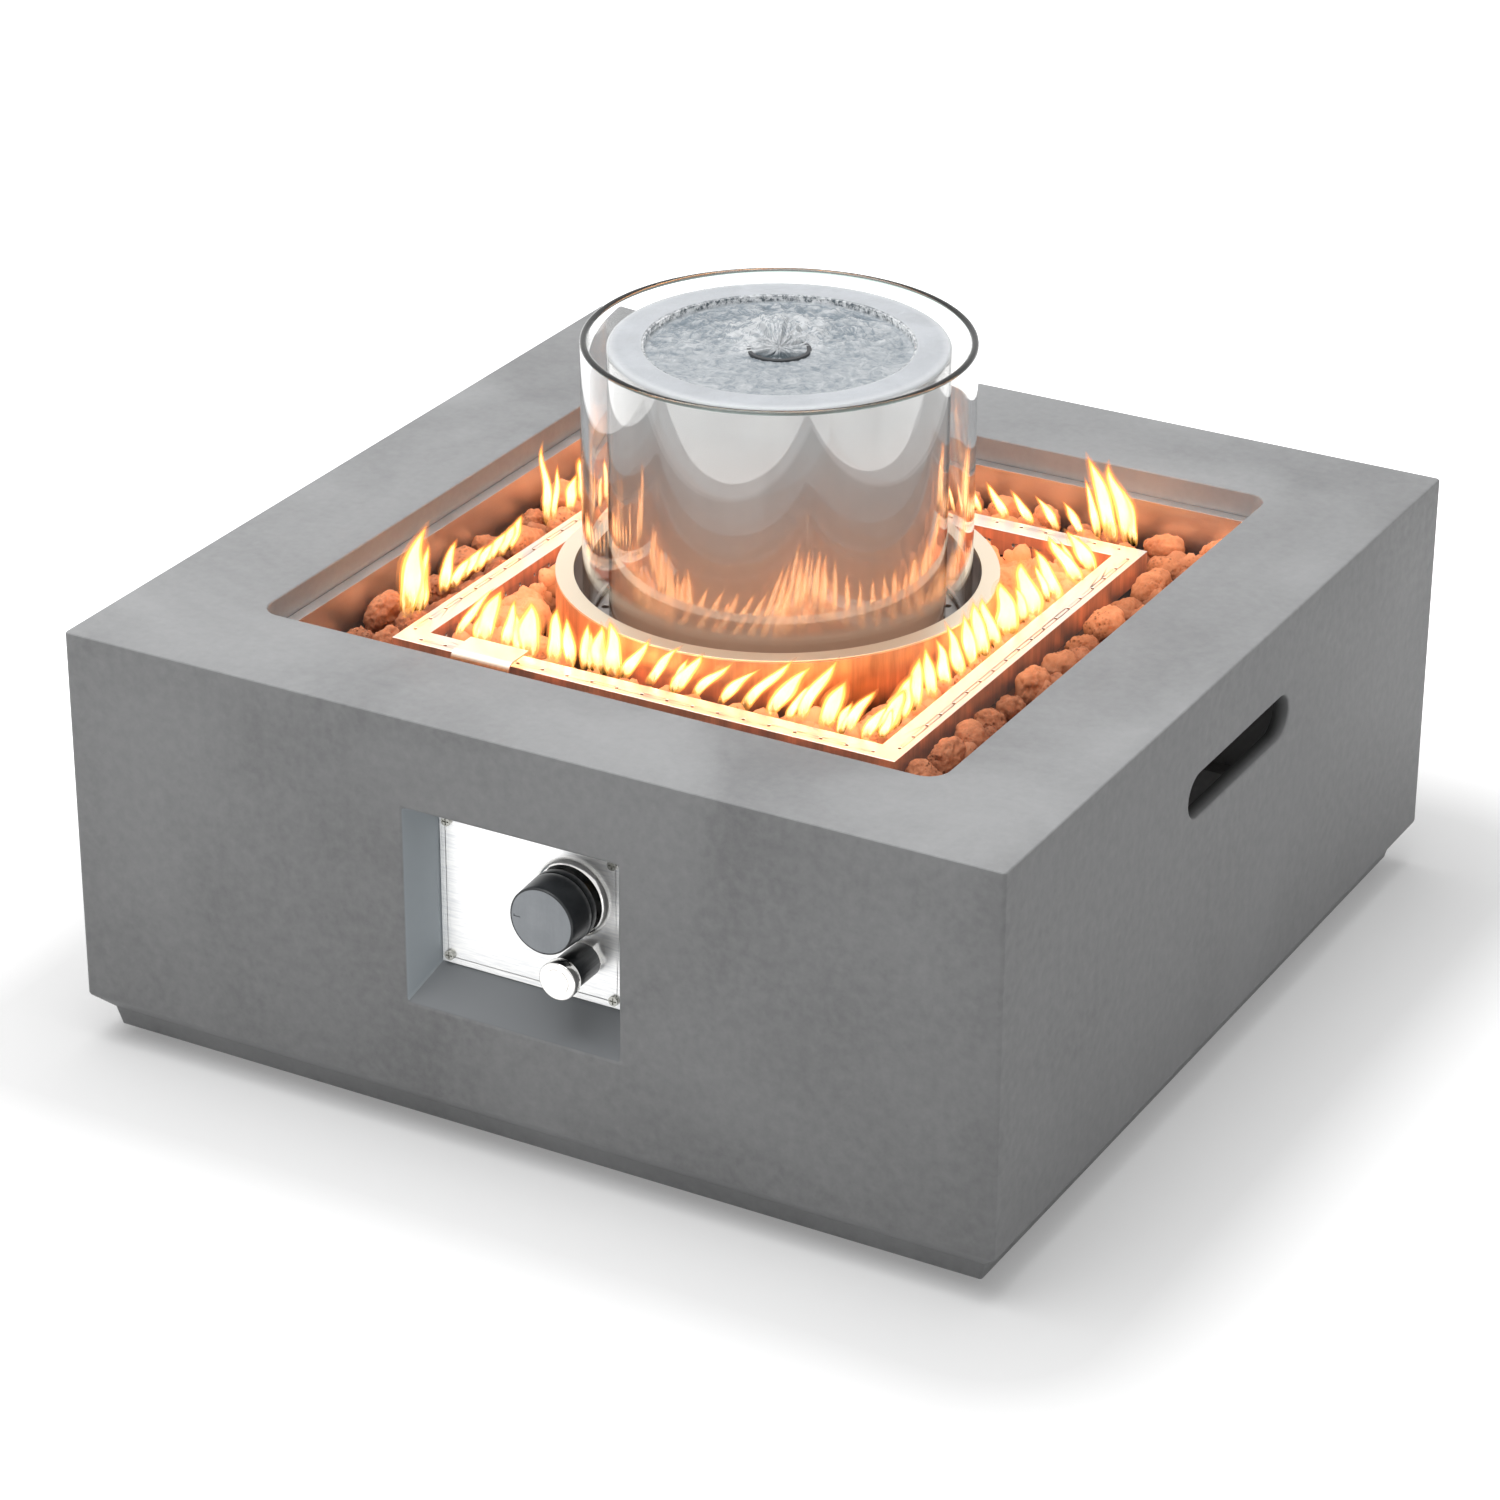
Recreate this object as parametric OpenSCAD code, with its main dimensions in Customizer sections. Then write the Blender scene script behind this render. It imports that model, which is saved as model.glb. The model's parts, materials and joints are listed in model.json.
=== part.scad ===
// Square gas fire pit with a water column at its centre.
// The origin is on the floor, under the middle of the body. +X is to the
// right of the control panel, -Y is the front and +Z is up.

/* [Body] */
// Width and depth of the square concrete body
body_w = 700; // [680:5:760]
// Height of the top face above the floor
body_h = 310; // [300:5:350]
// Thickness of the side walls
wall_t = 12; // [10:1:15]
// Thickness of the top slab, seen as the inner edge of the rim
slab_t = 20; // [16:1:24]
// Width of the flat rim round the square opening
rim_w = 93; // [88:1:95]
// Corner radius of that opening
opening_r = 15; // [12:1:24]
// Radius of the upright outer edges
edge_r = 3; // [2:1:8]
// Size of the bevel round the bottom of the walls
bevel = 13; // [8:1:15]
// Distance that the plinth stands in from the walls
plinth_in = 16; // [16:1:20]
// Height of the plinth under the bevel
plinth_h = 14; // [10:1:18]
// Height of the thick band that runs round the inside at the bottom
band_h = 42; // [38:1:48]
// Width of the ledge that carries the fire bowl
ledge_w = 7; // [5:0.5:9]
// Depth of the rib under that ledge
rib_h = 18; // [12:1:22]

/* [Feet] */
// Diameter of a foot pad
foot_d = 24; // [20:1:30]
// Height of a foot pad
foot_h = 8; // [6:1:12]
// Distance of a foot's middle from the outer faces of the walls
foot_in = 46; // [44:1:54]
// Diameter of the foot screws
foot_screw_d = 8; // [6:1:8]

/* [Hand grips] */
// Length of a hand slot
slot_len = 164; // [130:1:190]
// Height of a hand slot
slot_h = 32; // [26:1:38]
// Depth of the slot's upper edge below the top face
slot_drop = 58; // [50:1:66]
// Distance of the slots behind the middle of the body
slot_back = 5; // [0:1:15]

/* [Control recess] */
// Width of the recess at the front face
recess_w = 163.5; // [160:0.5:180]
// Height of the recess at the front face
recess_h = 144.5; // [142:0.5:156]
// Depth of the recess, from the front face to its rear flange
recess_depth = 29.5; // [26:0.5:32]
// Drop of the recess's upper edge below the top face
recess_drop = 64.5; // [60:0.5:70]
// Distance of the middle of the recess to the left of the body's middle
recess_left = 3.25; // [0:0.25:8]
// Width of the control panel
panel_w = 139; // [136:1:144]
// Height of the control panel
panel_h = 112.5; // [110:0.5:118]
// Height of the panel's middle above the middle of the recess
panel_rise = 5; // [2:0.5:8]
// Distance of the panel's middle to the left of the middle of the recess
panel_left = 1.75; // [0:0.25:4]
// Thickness of the panel sheet
panel_t = 1.5; // [1:0.1:2]
// Margin from the panel's edge to its screws
panel_margin = 6.5; // [5:0.5:8]

/* [Knob and valve] */
// Diameter of the control knob at its rear
knob_d = 49.5; // [48:0.5:52]
// Diameter of the control knob at its front
knob_front_d = 47.2; // [44:0.2:47.8]
// Length of the control knob
knob_len = 29; // [24:1:31]
// Gap between the knob and the dished plate behind it
knob_gap = 6; // [5:0.5:8]
// Distance of the knob's axis to the right of the panel's middle
knob_right = 32.5; // [31:0.5:33]
// Height of the knob's axis above the panel's middle
knob_rise = 18.5; // [17:0.5:20]
// Travel of the knob when it is pushed in
push_travel = 3; // [2:0.5:3]
// Diameter of the dished plate behind the knob
bezel_d = 55.5; // [53:0.5:57]
// Diameter of the valve stem
stem_d = 8; // [7:0.5:9]

/* [Igniter] */
// Diameter of the igniter's front collar
collar_d = 27.2; // [25:0.2:28]
// Distance that the collar stands out past the front face
collar_proud = 10; // [8:0.5:11]
// Diameter of the push button inside the collar
button_d = 17; // [14:0.5:18]
// Travel of the push button
button_travel = 3; // [2:0.5:4]
// Distance of the igniter's axis to the right of the panel's middle
igniter_right = 42.5; // [42:0.5:43.5]
// Depth of the igniter's axis below the panel's middle
igniter_drop = 23.5; // [23:0.5:26]

/* [Fire bowl] */
// Depth of the bowl's floor below the top face
bowl_depth = 66; // [64:1:72]
// Thickness of the steel sheet parts
sheet_t = 1.5; // [1.2:0.1:2]

/* [Burner] */
// Width of the trough of rocks between the bowl's wall and the burner frame
trough_w = 54.5; // [48:0.5:60]
// Gap between the burner frame and the ring round the glass
burner_gap = 20; // [18:0.5:22]
// Width and height of the burner tube
tube_w = 19; // [18:0.5:20]
// Wall of the burner tube
tube_t = 1.5; // [1.2:0.1:1.8]
// Drop of the burner's top below the top face
burner_drop = 31; // [28:1:34]
// Diameter of a flame port
port_d = 2.4; // [2:0.1:2.8]
// Distance between flame ports
port_pitch = 19.3; // [16:0.1:24]
// Distance of the upper ports from the frame's outer edge
port_edge = 6.5; // [5:0.5:8]

/* [Electrode shield] */
// Width of the shield over the front tube
shield_w = 46; // [40:1:56]
// Distance of its middle from the left corner of the burner
shield_in = 79; // [60:1:94]
// Height of the shield above the burner tube
shield_rise = 6; // [4:0.5:8]

/* [Lava rocks] */
// Shortest rock, along its row
rock_short = 24; // [22:1:28]
// Longest rock, along its row
rock_long = 44; // [32:1:48]
// Height of the highest rocks
rock_h = 38; // [30:1:40]

/* [Water basin] */
// Gap between the glass and the steel ring round it
ring_gap = 6.1; // [5:0.1:8]
// Width of that ring's flat rim
ring_w = 12.7; // [11:0.1:15]
// Drop of the ring's top below the top face
ring_drop = 10.7; // [8:0.1:14]
// Depth of the basin's floor below the top face
basin_depth = 190; // [186:1:194]
// Drop of the deck plate below the top face
deck_drop = 50; // [46:1:54]
// Thickness of the deck plate
deck_t = 2; // [1.5:0.1:3]

/* [Water column] */
// Gap between the drum and the glass, where the water falls
water_gap = 14; // [12:0.5:18]
// Thickness of the glass
glass_t = 5; // [4:0.5:6]
// Height of the glass above the top face
glass_rise = 159.4; // [156:0.1:190]
// Height of the drum's top above the top face
drum_rise = 154; // [130:1:155]
// Width of the flat weir round the drum's top
weir_w = 24.2; // [18:0.2:36]
// Depth of the dish inside the weir
weir_depth = 8; // [6:0.5:12]

/* [Pump] */
// Width of the pump
pump_w = 64; // [56:1:72]
// Depth of the pump, front to back
pump_d = 50; // [44:1:56]
// Height of the pump's case
pump_h = 42; // [38:1:46]
// Outer diameter of the riser pipe
riser_d = 20; // [18:1:22]

/* [Rear inlets] */
// Width of the opening in the rear wall
service_w = 110; // [100:1:130]
// Height of the opening in the rear wall
service_h = 54; // [50:1:60]
// Height of the inlets above the floor
service_z = 100; // [98:1:101]
// Sideways distance of each inlet from the middle
inlet_side = 30; // [28:1:34]
// Diameter of the gas inlet's flare thread
flare_d = 15.88; // [15.88]
// Length of that thread
flare_len = 20; // [16:1:24]

/* [Hidden] */

$fn = 48;

// Shared clearances and stock: the overrun of every cut, the clearance of
// pieces that are lowered in, and the radial clearance of a shaft
cut = 1;
slip = 0.3;
run = 0.05;
screw_d = 4;
screw_head_d = 7;
screw_head_h = 2.4;
screw_slot_w = 0.9;
screw_slot_len = 5;
screw_slot_depth = 1.2;
screw_len = 9;

// Body
concrete = [0.56, 0.56, 0.56];
half = body_w / 2;
opening_w = body_w - 2 * rim_w;
open_half = opening_w / 2;
bowl_top = body_h - slab_t;
inner_half = half - wall_t;
band_half = half - plinth_in - wall_t;
rib_half = open_half - ledge_w;
rib_back = 20;
rib_joint = 2;
band_top = foot_h + band_h;
bevel_top = foot_h + plinth_h + bevel;
foot_reach = half - foot_in;
lug_in = 28;

// Feet
foot_taper = 2;
foot_recess_d = 14;
foot_head_d = 12.5;
foot_head_h = 2;
foot_screw_len = 34;
foot_bore_d = foot_screw_d + 2 * run;

// Control recess: the front and the back rectangle as [x0, x1, z0, z1]
recess_x = -recess_left;
recess_z = body_h - recess_drop - recess_h / 2;
panel_x = recess_x - panel_left;
panel_z = recess_z + panel_rise;
recess_front = [recess_x - recess_w / 2, recess_x + recess_w / 2,
                recess_z - recess_h / 2, recess_z + recess_h / 2];
recess_back = [panel_x - panel_w / 2, panel_x + panel_w / 2,
               panel_z - panel_h / 2, panel_z + panel_h / 2];
recess_wall = 8;
flange_t = 8;
flange_w = 12;
flange_y = -half + recess_depth;
panel_y = flange_y - panel_t;

// Knob and valve
knob_x = panel_x + knob_right;
knob_z = panel_z + knob_rise;
knob_wall = 4.2;
knob_skirt = 10;
knob_rim = 1.2;
knob_face_t = 1.2;
knob_face_sunk = 0.3;
knob_edge = 1;
knob_groove_w = 1.2;
knob_groove_depth = 0.5;
knob_groove_in = 6;
pointer_w = 1.8;
pointer_len = 5;
pointer_in = 3;
bezel_h = 5;
bezel_t = 1.2;
bezel_lip = 1.5;
knob_y = panel_y - bezel_h - knob_gap - knob_len;
boss_d = 18;
boss_proud = 3;
valve_w = 46;
valve_len = 44;
valve_h = 34;
valve_end = flange_y + valve_len;
stem_seat = 4;
stem_in = 22;
stem_flat = 1;
plunger_d = 6;
plunger_len = 12;
valve_screw_side = 15;
port_od = 14;
port_len = 12;
port_side = 10;
supply_port_y = flange_y + valve_len / 2;
supply_port_z = knob_z - port_side;
valve_out_x = knob_x - port_side;

// Igniter
igniter_x = panel_x + igniter_right;
igniter_z = panel_z - igniter_drop;
collar_y = -half - collar_proud;
collar_len = 8;
collar_lip = 2.5;
collar_wall = 1.6;
collar_edge = 0.8;
button_proud = 0.4;
button_rim = 1.5;
button_rim_h = 1.5;
button_stud_d = 5;
button_room = 1;
barrel_front_d = collar_d - 2 * collar_wall;
barrel_thread_d = 20;
barrel_tail = 52;
barrel_end = flange_y + barrel_tail;
barrel_bore_d = 11;
barrel_land = 3;
nut_h = 3.5;
nut_d = 25.4;
battery_d = 10.5;
battery_len = 44.5;
terminal_d = 5;
terminal_len = 6;

// Fire bowl
bowl_floor = body_h - bowl_depth;
bowl_gap = 0.5;
bowl_play = 1;
bowl_flange_half = open_half - bowl_gap;
bowl_half = rib_half - bowl_play;
bowl_in = bowl_half - sheet_t;
bowl_r = 9;
drain_d = 6;
drain_in = 30;

// Burner
burner_half = bowl_in - trough_w;
burner_w = 2 * burner_half;
tube_in = burner_half - tube_w;
burner_top = body_h - burner_drop;
burner_bottom = burner_top - tube_w;
bracket_len = 20;
bracket_t = 2;
bracket_share = 0.62;
inlet_x = 0;
inlet_y = -burner_half + tube_w / 2;
inlet_d = 15;
inlet_bore = 11;
inlet_nut_d = 26;
inlet_nut_h = 5;
mixer_d = 24;
mixer_len = 62;
mixer_t = 2;
mixer_window_h = 18;
mixer_window_w = 9;
mixer_window_z = 14;
inlet_tail = 12;
mixer_top = bowl_floor - sheet_t - inlet_nut_h;
mixer_bottom = mixer_top - mixer_len;
orifice_d = 14;
orifice_len = 16;
hose_d = 11;

// Electrode and thermocouple, beside the front tube
shield_x = -burner_half + shield_in;
shield_t = 1.2;
shield_cover = 12;
shield_gap = 12;
shield_skirt = 12;
shield_leg = 5;
probe_gap = 5;
probe_y = -burner_half - probe_gap;
electrode_x = shield_x - shield_w / 4;
thermo_x = shield_x + shield_w / 4;
ceramic_d = 5;
tip_d = 2;
tip_z = burner_top + shield_rise / 2;
probe_tail = 16;
probe_bottom = bowl_floor - probe_tail;
electrode_lead_d = 3.4;
thermo_lead_d = 2.6;

// Water column, from the ring inwards to the drum
ring_r = tube_in - burner_gap;
ring_in = ring_r - ring_w;
ring_top = body_h - ring_drop;
glass_r = ring_in - ring_gap;
glass_in = glass_r - glass_t;
glass_top = body_h + glass_rise;
drum_r = glass_in - water_gap;
drum_t = 1.5;
drum_top = body_h + drum_rise;
weir_r = drum_r - weir_w;
dish_floor = drum_top - weir_depth;

// Water basin and deck
basin_r = ring_in + sheet_t;
bowl_hole_gap = 4;
bowl_hole_r = basin_r + bowl_hole_gap;
basin_floor = body_h - basin_depth;
deck_top = body_h - deck_drop;
deck_r = ring_in - slip;
tab_len = 9;
tab_w = 14;
tab_t = 2;
gasket_t = 2;
gasket_over = 0.6;
weep_d = 6;
weep_count = 36;

// Glass seat and nozzle
glass_bottom = deck_top + gasket_t + slip;
nozzle_d = 44;
nozzle_wall = 3;
nozzle_h = 5;
riser_t = 2;
riser_bore = riser_d - 2 * riser_t;
spigot_len = 14;
spigot_t = 2;

// Pump
pump_foot_h = 5;
pump_foot_d = 14;
pump_bottom = basin_floor + pump_foot_h;
pump_top = pump_bottom + pump_h;
pump_r = 8;
pump_neck = 6;
pump_grille = 4;
pump_slots = 5;
pump_slot_share = 0.6;
cable_d = 6;
grommet_drop = 14;
grommet_z = bowl_floor - grommet_drop;
grommet_hole = cable_d + 5;
grommet_flange = 4;
grommet_len = 8;

// Rear inlets
service_gap = 12;
service_y = half - wall_t;
service_t = 2;
flare_hex = 24;
flare_hex_h = 4;
flare_tail = 14;
flare_bore = 6;
supply_d = 8;
pipe_under = 14.5;
pipe_low = basin_floor - sheet_t - supply_d / 2 - pipe_under;
nut_t = 5;
socket_d = 14;
socket_flange_d = 20;
socket_flange_h = 3;
socket_tail = 22;
socket_bore = 6;
socket_depth = 12;

// Rocks: two rows fill each trough between the burner tube and the bowl
rock_gap = 0.6;
rock_mean = (rock_short + rock_long) / 2;
rock_row_w = (bowl_in - burner_half - 3 * rock_gap) / 2;
rock_hollow_share = 0.76;
rock_low_share = 0.64;
rock_seed = 31;
seed_step = 17;
full_turn = 360;

// Leads and pipes: ring spacing and corner rounding
tube_sides = 8;
corner_steps = 4;
corner_share = 0.46;
pipe_bend = 40;
hose_bend = 46;
lead_bend = 30;

function unit(v) = v / norm(v);

// A route with its corners rounded over a length of up to bend
function rounded(p, bend) = [
    p[0],
    for (i = [1 : len(p) - 2])
        let (a = p[i - 1] - p[i], b = p[i + 1] - p[i],
             d = min(bend, corner_share * norm(a), corner_share * norm(b)),
             s = p[i] + d * unit(a), e = p[i] + d * unit(b))
        for (k = [0 : corner_steps])
            let (t = k / corner_steps)
            (1 - t) * (1 - t) * s + 2 * t * (1 - t) * p[i] + t * t * e,
    p[len(p) - 1]
];

function headings(p) = [
    for (i = [0 : len(p) - 1])
        i == 0 ? unit(p[1] - p[0])
        : i == len(p) - 1 ? unit(p[i] - p[i - 1])
        : unit(unit(p[i] - p[i - 1]) + unit(p[i + 1] - p[i]))
];

function first_side(t) = unit(cross(t, abs(t[2]) > abs(t[0]) ? [1, 0, 0] : [0, 0, 1]));

// Side vectors carried along the route without twist
function sides_along(t, i = 0, n = undef, out = []) =
    i == len(t) ? out
    : let (m = is_undef(n) ? first_side(t[0]) : unit(n - (n * t[i]) * t[i]))
      sides_along(t, i + 1, m, concat(out, [m]));

// A round tube along a route, as one closed solid
module swept_tube(route, d) {
    t = headings(route);
    u = sides_along(t);
    last = len(route) - 1;
    points = [
        for (i = [0 : last]) let (w = cross(t[i], u[i]))
            for (k = [0 : tube_sides - 1])
                let (a = full_turn * k / tube_sides)
                route[i] + d / 2 * (cos(a) * u[i] + sin(a) * w)
    ];
    skin = [
        for (i = [0 : last - 1]) for (k = [0 : tube_sides - 1])
            let (a = i * tube_sides + k, b = i * tube_sides + (k + 1) % tube_sides)
            for (f = [[a, a + tube_sides, b], [b, a + tube_sides, b + tube_sides]]) f
    ];
    ends = [
        [for (k = [0 : tube_sides - 1]) k],
        [for (k = [tube_sides - 1 : -1 : 0]) last * tube_sides + k]
    ];
    polyhedron(points, concat(skin, ends));
}

// A square with arcs at its corners
module rounded_square(w, r) {
    square([w, w - 2 * r], center = true);
    square([w - 2 * r, w], center = true);
    for (x = [-1, 1]) for (y = [-1, 1])
        translate([x * (w / 2 - r), y * (w / 2 - r)]) circle(r);
}

module rounded_block(w, r, z0, z1) {
    translate([0, 0, z0]) linear_extrude(z1 - z0) rounded_square(w, r);
}

// A box from its [x0, x1, z0, z1] rectangle and its reach along Y
module slab(r, y0, y1) {
    translate([r[0], y0, r[2]]) cube([r[1] - r[0], y1 - y0, r[3] - r[2]]);
}

// A box whose front rectangle tapers to its back rectangle
module taper(front, back, y0, y1) {
    low = min(front[2], back[2]);
    left = min(front[0], back[0]);
    intersection() {
        translate([0, 0, low - cut])
            linear_extrude(max(front[3], back[3]) - low + 2 * cut)
            polygon([[front[0], y0], [front[1], y0], [back[1], y1], [back[0], y1]]);
        translate([left - cut, 0, 0]) rotate([90, 0, 90])
            linear_extrude(max(front[1], back[1]) - left + 2 * cut)
            polygon([[y0, front[2]], [y0, front[3]], [y1, back[3]], [y1, back[2]]]);
    }
}

// A cylinder along Y from y0 to y1
module rod(x, z, d, y0, y1) {
    translate([x, y0, z]) rotate([-90, 0, 0]) cylinder(h = y1 - y0, d = d);
}

module hex_rod(x, z, d, y0, y1) {
    translate([x, y0, z]) rotate([-90, 0, 0]) cylinder(h = y1 - y0, d = d, $fn = 6);
}

// A tube along Z
module tube(r_out, r_in, z0, z1) {
    translate([0, 0, z0]) difference() {
        cylinder(h = z1 - z0, r = r_out);
        translate([0, 0, -cut]) cylinder(h = z1 - z0 + 2 * cut, r = r_in);
    }
}

module at_corners(reach) {
    for (x = [-1, 1]) for (y = [-1, 1]) translate([x * reach, y * reach, 0]) children();
}

function panel_holes() = [
    for (x = [-1, 1]) for (z = [-1, 1])
        [panel_x + x * (panel_w / 2 - panel_margin), panel_z + z * (panel_h / 2 - panel_margin)]
];

function service_holes() = [
    for (x = [-1, 1]) for (z = [-1, 1])
        [x * (service_w + service_gap) / 2, service_z + z * (service_h + service_gap) / 2]
];

module hand_slot(side) {
    z = body_h - slot_drop - slot_h / 2;
    depth = 2 * (wall_t + cut);
    translate([side * half, slot_back, z]) {
        for (end = [-1, 1]) translate([0, end * (slot_len - slot_h) / 2, 0])
            rotate([0, 90, 0]) cylinder(h = depth, d = slot_h, center = true);
        cube([depth, slot_len - slot_h, slot_h], center = true);
    }
}

// The block round the recess, and the recess itself with its rear opening
module recess_block() {
    slab([recess_front[0] - recess_wall, recess_front[1] + recess_wall,
          recess_front[2] - recess_wall, recess_front[3] + recess_wall],
         -half + wall_t / 2, flange_y + flange_t);
}

module recess_space() {
    taper(recess_front, recess_back, -half, flange_y);
    slab([recess_back[0] + flange_w, recess_back[1] - flange_w,
          recess_back[2] + flange_w, recess_back[3] - flange_w],
         flange_y - cut, flange_y + flange_t + cut);
}

// The concrete body is cast in one. Its solids meet face to face: the top
// slab, the ribs whose ledge carries the bowl, the walls, and the band below.
module rim_slab() {
    color(concrete) difference() {
        rounded_block(body_w, edge_r, bowl_top, body_h);
        rounded_block(opening_w, opening_r, bowl_top - cut, body_h + cut);
    }
}

// Four ribs, each with a small joint at the foot of the next one
module bowl_ledge() {
    reach = rib_half + rib_back;
    color(concrete) for (side = [0 : 3]) rotate(side * full_turn / 4)
        slab([-reach, rib_half - rib_joint, bowl_top - rib_h, bowl_top], rib_half, reach);
}

module side_walls() {
    color(concrete) for (side = [-1, 1]) difference() {
        intersection() {
            rounded_block(body_w, edge_r, band_top, bowl_top);
            slab([side * half - wall_t, side * half + wall_t, band_top, bowl_top], -half, half);
        }
        hand_slot(side);
    }
}

module end_walls() {
    color(concrete) {
        difference() {
            union() {
                slab([-inner_half, inner_half, band_top, bowl_top], -half, -inner_half);
                recess_block();
            }
            recess_space();
            for (p = panel_holes()) rod(p[0], p[1], screw_d, flange_y - cut, flange_y + flange_t + cut);
        }
        difference() {
            slab([-inner_half, inner_half, band_top, bowl_top], inner_half, half);
            slab([-service_w / 2, service_w / 2, service_z - service_h / 2, service_z + service_h / 2],
                 service_y - cut, half + cut);
            for (p = service_holes())
                rod(p[0], p[1], screw_d, service_y - cut, service_y + screw_len - service_t);
        }
    }
}

// The band's outline: the foot of the walls, the bevel and the plinth
module band_outline() {
    rounded_block(body_w, edge_r, bevel_top, band_top);
    for (side = [0 : 3]) rotate(side * full_turn / 4)
        intersection() {
            translate([-half, 0, 0]) rotate([90, 0, 90]) linear_extrude(body_w) polygon([
                [-half, bevel_top], [-half + bevel, foot_h + plinth_h],
                [-half + plinth_in, foot_h], [0, foot_h], [0, bevel_top]
            ]);
            linear_extrude(body_h) polygon([[0, 0], [-half, -half], [half, -half]]);
        }
}

module plinth_band() {
    lug_0 = foot_reach - lug_in;
    lug_1 = band_half + wall_t / 2;
    color(concrete) difference() {
        union() {
            difference() {
                band_outline();
                translate([-band_half, -band_half, 0])
                    cube([2 * band_half, 2 * band_half, band_top + cut]);
            }
            at_corners((lug_0 + lug_1) / 2) translate([0, 0, foot_h + band_h / 2])
                cube([lug_1 - lug_0, lug_1 - lug_0, band_h], center = true);
        }
        recess_block();
        recess_space();
        at_corners(foot_reach) cylinder(h = foot_screw_len + cut, d = foot_bore_d);
    }
}

module foot_pads() {
    color([0.09, 0.09, 0.09]) at_corners(foot_reach) difference() {
        union() {
            cylinder(h = foot_h / 2, d = foot_d);
            translate([0, 0, foot_h / 2])
                cylinder(h = foot_h / 2, d1 = foot_d, d2 = foot_d - 2 * foot_taper);
        }
        translate([0, 0, -cut]) cylinder(h = foot_h / 2 + cut, d = foot_recess_d);
        translate([0, 0, -cut]) cylinder(h = foot_h + 2 * cut, d = foot_bore_d);
    }
}

module foot_screws() {
    head_z = foot_h / 2 - foot_head_h;
    color([0.7, 0.7, 0.72]) at_corners(foot_reach) {
        translate([0, 0, head_z]) cylinder(h = foot_head_h, d = foot_head_d);
        translate([0, 0, head_z]) cylinder(h = foot_screw_len - head_z, d = foot_screw_d);
    }
}

module fire_bowl() {
    color([0.72, 0.66, 0.6]) difference() {
        union() {
            rounded_block(2 * bowl_half, bowl_r, bowl_floor - sheet_t, bowl_top + sheet_t);
            rounded_block(2 * bowl_flange_half, opening_r - bowl_gap, bowl_top, bowl_top + sheet_t);
        }
        rounded_block(2 * bowl_in, bowl_r - sheet_t, bowl_floor, bowl_top + sheet_t + cut);
        translate([0, 0, bowl_floor - sheet_t - cut]) {
            cylinder(h = sheet_t + 2 * cut, r = bowl_hole_r);
            translate([inlet_x, inlet_y, 0]) cylinder(h = sheet_t + 2 * cut, d = inlet_d);
            translate([electrode_x, probe_y, 0]) cylinder(h = sheet_t + 2 * cut, d = ceramic_d + 2 * run);
            translate([thermo_x, probe_y, 0]) cylinder(h = sheet_t + 2 * cut, d = ceramic_d + 2 * run);
            at_corners(bowl_in - drain_in) cylinder(h = sheet_t + 2 * cut, d = drain_d);
        }
    }
}

function port_places(reach) =
    let (n = floor(2 * reach / port_pitch)) [for (i = [0 : n]) (i - n / 2) * port_pitch];

module burner_frame() {
    color([0.85, 0.84, 0.82]) difference() {
        translate([0, 0, burner_bottom]) linear_extrude(tube_w) difference() {
            square(burner_w, center = true);
            square(2 * tube_in, center = true);
        }
        translate([0, 0, burner_bottom + tube_t]) linear_extrude(tube_w - 2 * tube_t) difference() {
            square(burner_w - 2 * tube_t, center = true);
            square(2 * (tube_in + tube_t), center = true);
        }
        for (side = [0 : 3]) rotate(side * full_turn / 4) {
            for (x = port_places(burner_half - 2 * port_edge))
                translate([x, -burner_half + port_edge, burner_top - tube_t - cut / 2])
                    cylinder(h = tube_t + cut, d = port_d);
            for (x = port_places(tube_in - port_pitch))
                rod(x, burner_bottom + tube_w / 2, port_d, -tube_in - tube_t - cut / 2, -tube_in + cut / 2);
        }
        translate([inlet_x, inlet_y, burner_bottom - cut]) cylinder(h = tube_t + 2 * cut, d = inlet_d);
    }
}

// U-shaped stands spot-welded to the bowl's floor under the burner tube
module burner_brackets() {
    stand = burner_bottom - bowl_floor;
    color([0.75, 0.74, 0.72]) for (side = [0 : 3]) rotate(side * full_turn / 4) for (s = [-1, 1])
        translate([s * bracket_share * tube_in - bracket_len / 2, -burner_half, bowl_floor]) difference() {
            cube([bracket_len, tube_w, stand]);
            translate([-cut, bracket_t, bracket_t])
                cube([bracket_len + 2 * cut, tube_w - 2 * bracket_t, stand]);
        }
}

module burner_inlet() {
    color([0.8, 0.68, 0.38]) translate([inlet_x, inlet_y, 0]) difference() {
        translate([0, 0, mixer_top - inlet_tail])
            cylinder(h = burner_bottom + tube_t - mixer_top + inlet_tail, d = inlet_d);
        translate([0, 0, mixer_top - inlet_tail - cut]) cylinder(h = body_h, d = inlet_bore);
    }
}

module inlet_locknut() {
    color([0.78, 0.78, 0.8]) translate([inlet_x, inlet_y, mixer_top]) difference() {
        cylinder(h = inlet_nut_h, d = inlet_nut_d, $fn = 6);
        translate([0, 0, -cut]) cylinder(h = inlet_nut_h + 2 * cut, d = inlet_d);
    }
}

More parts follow.
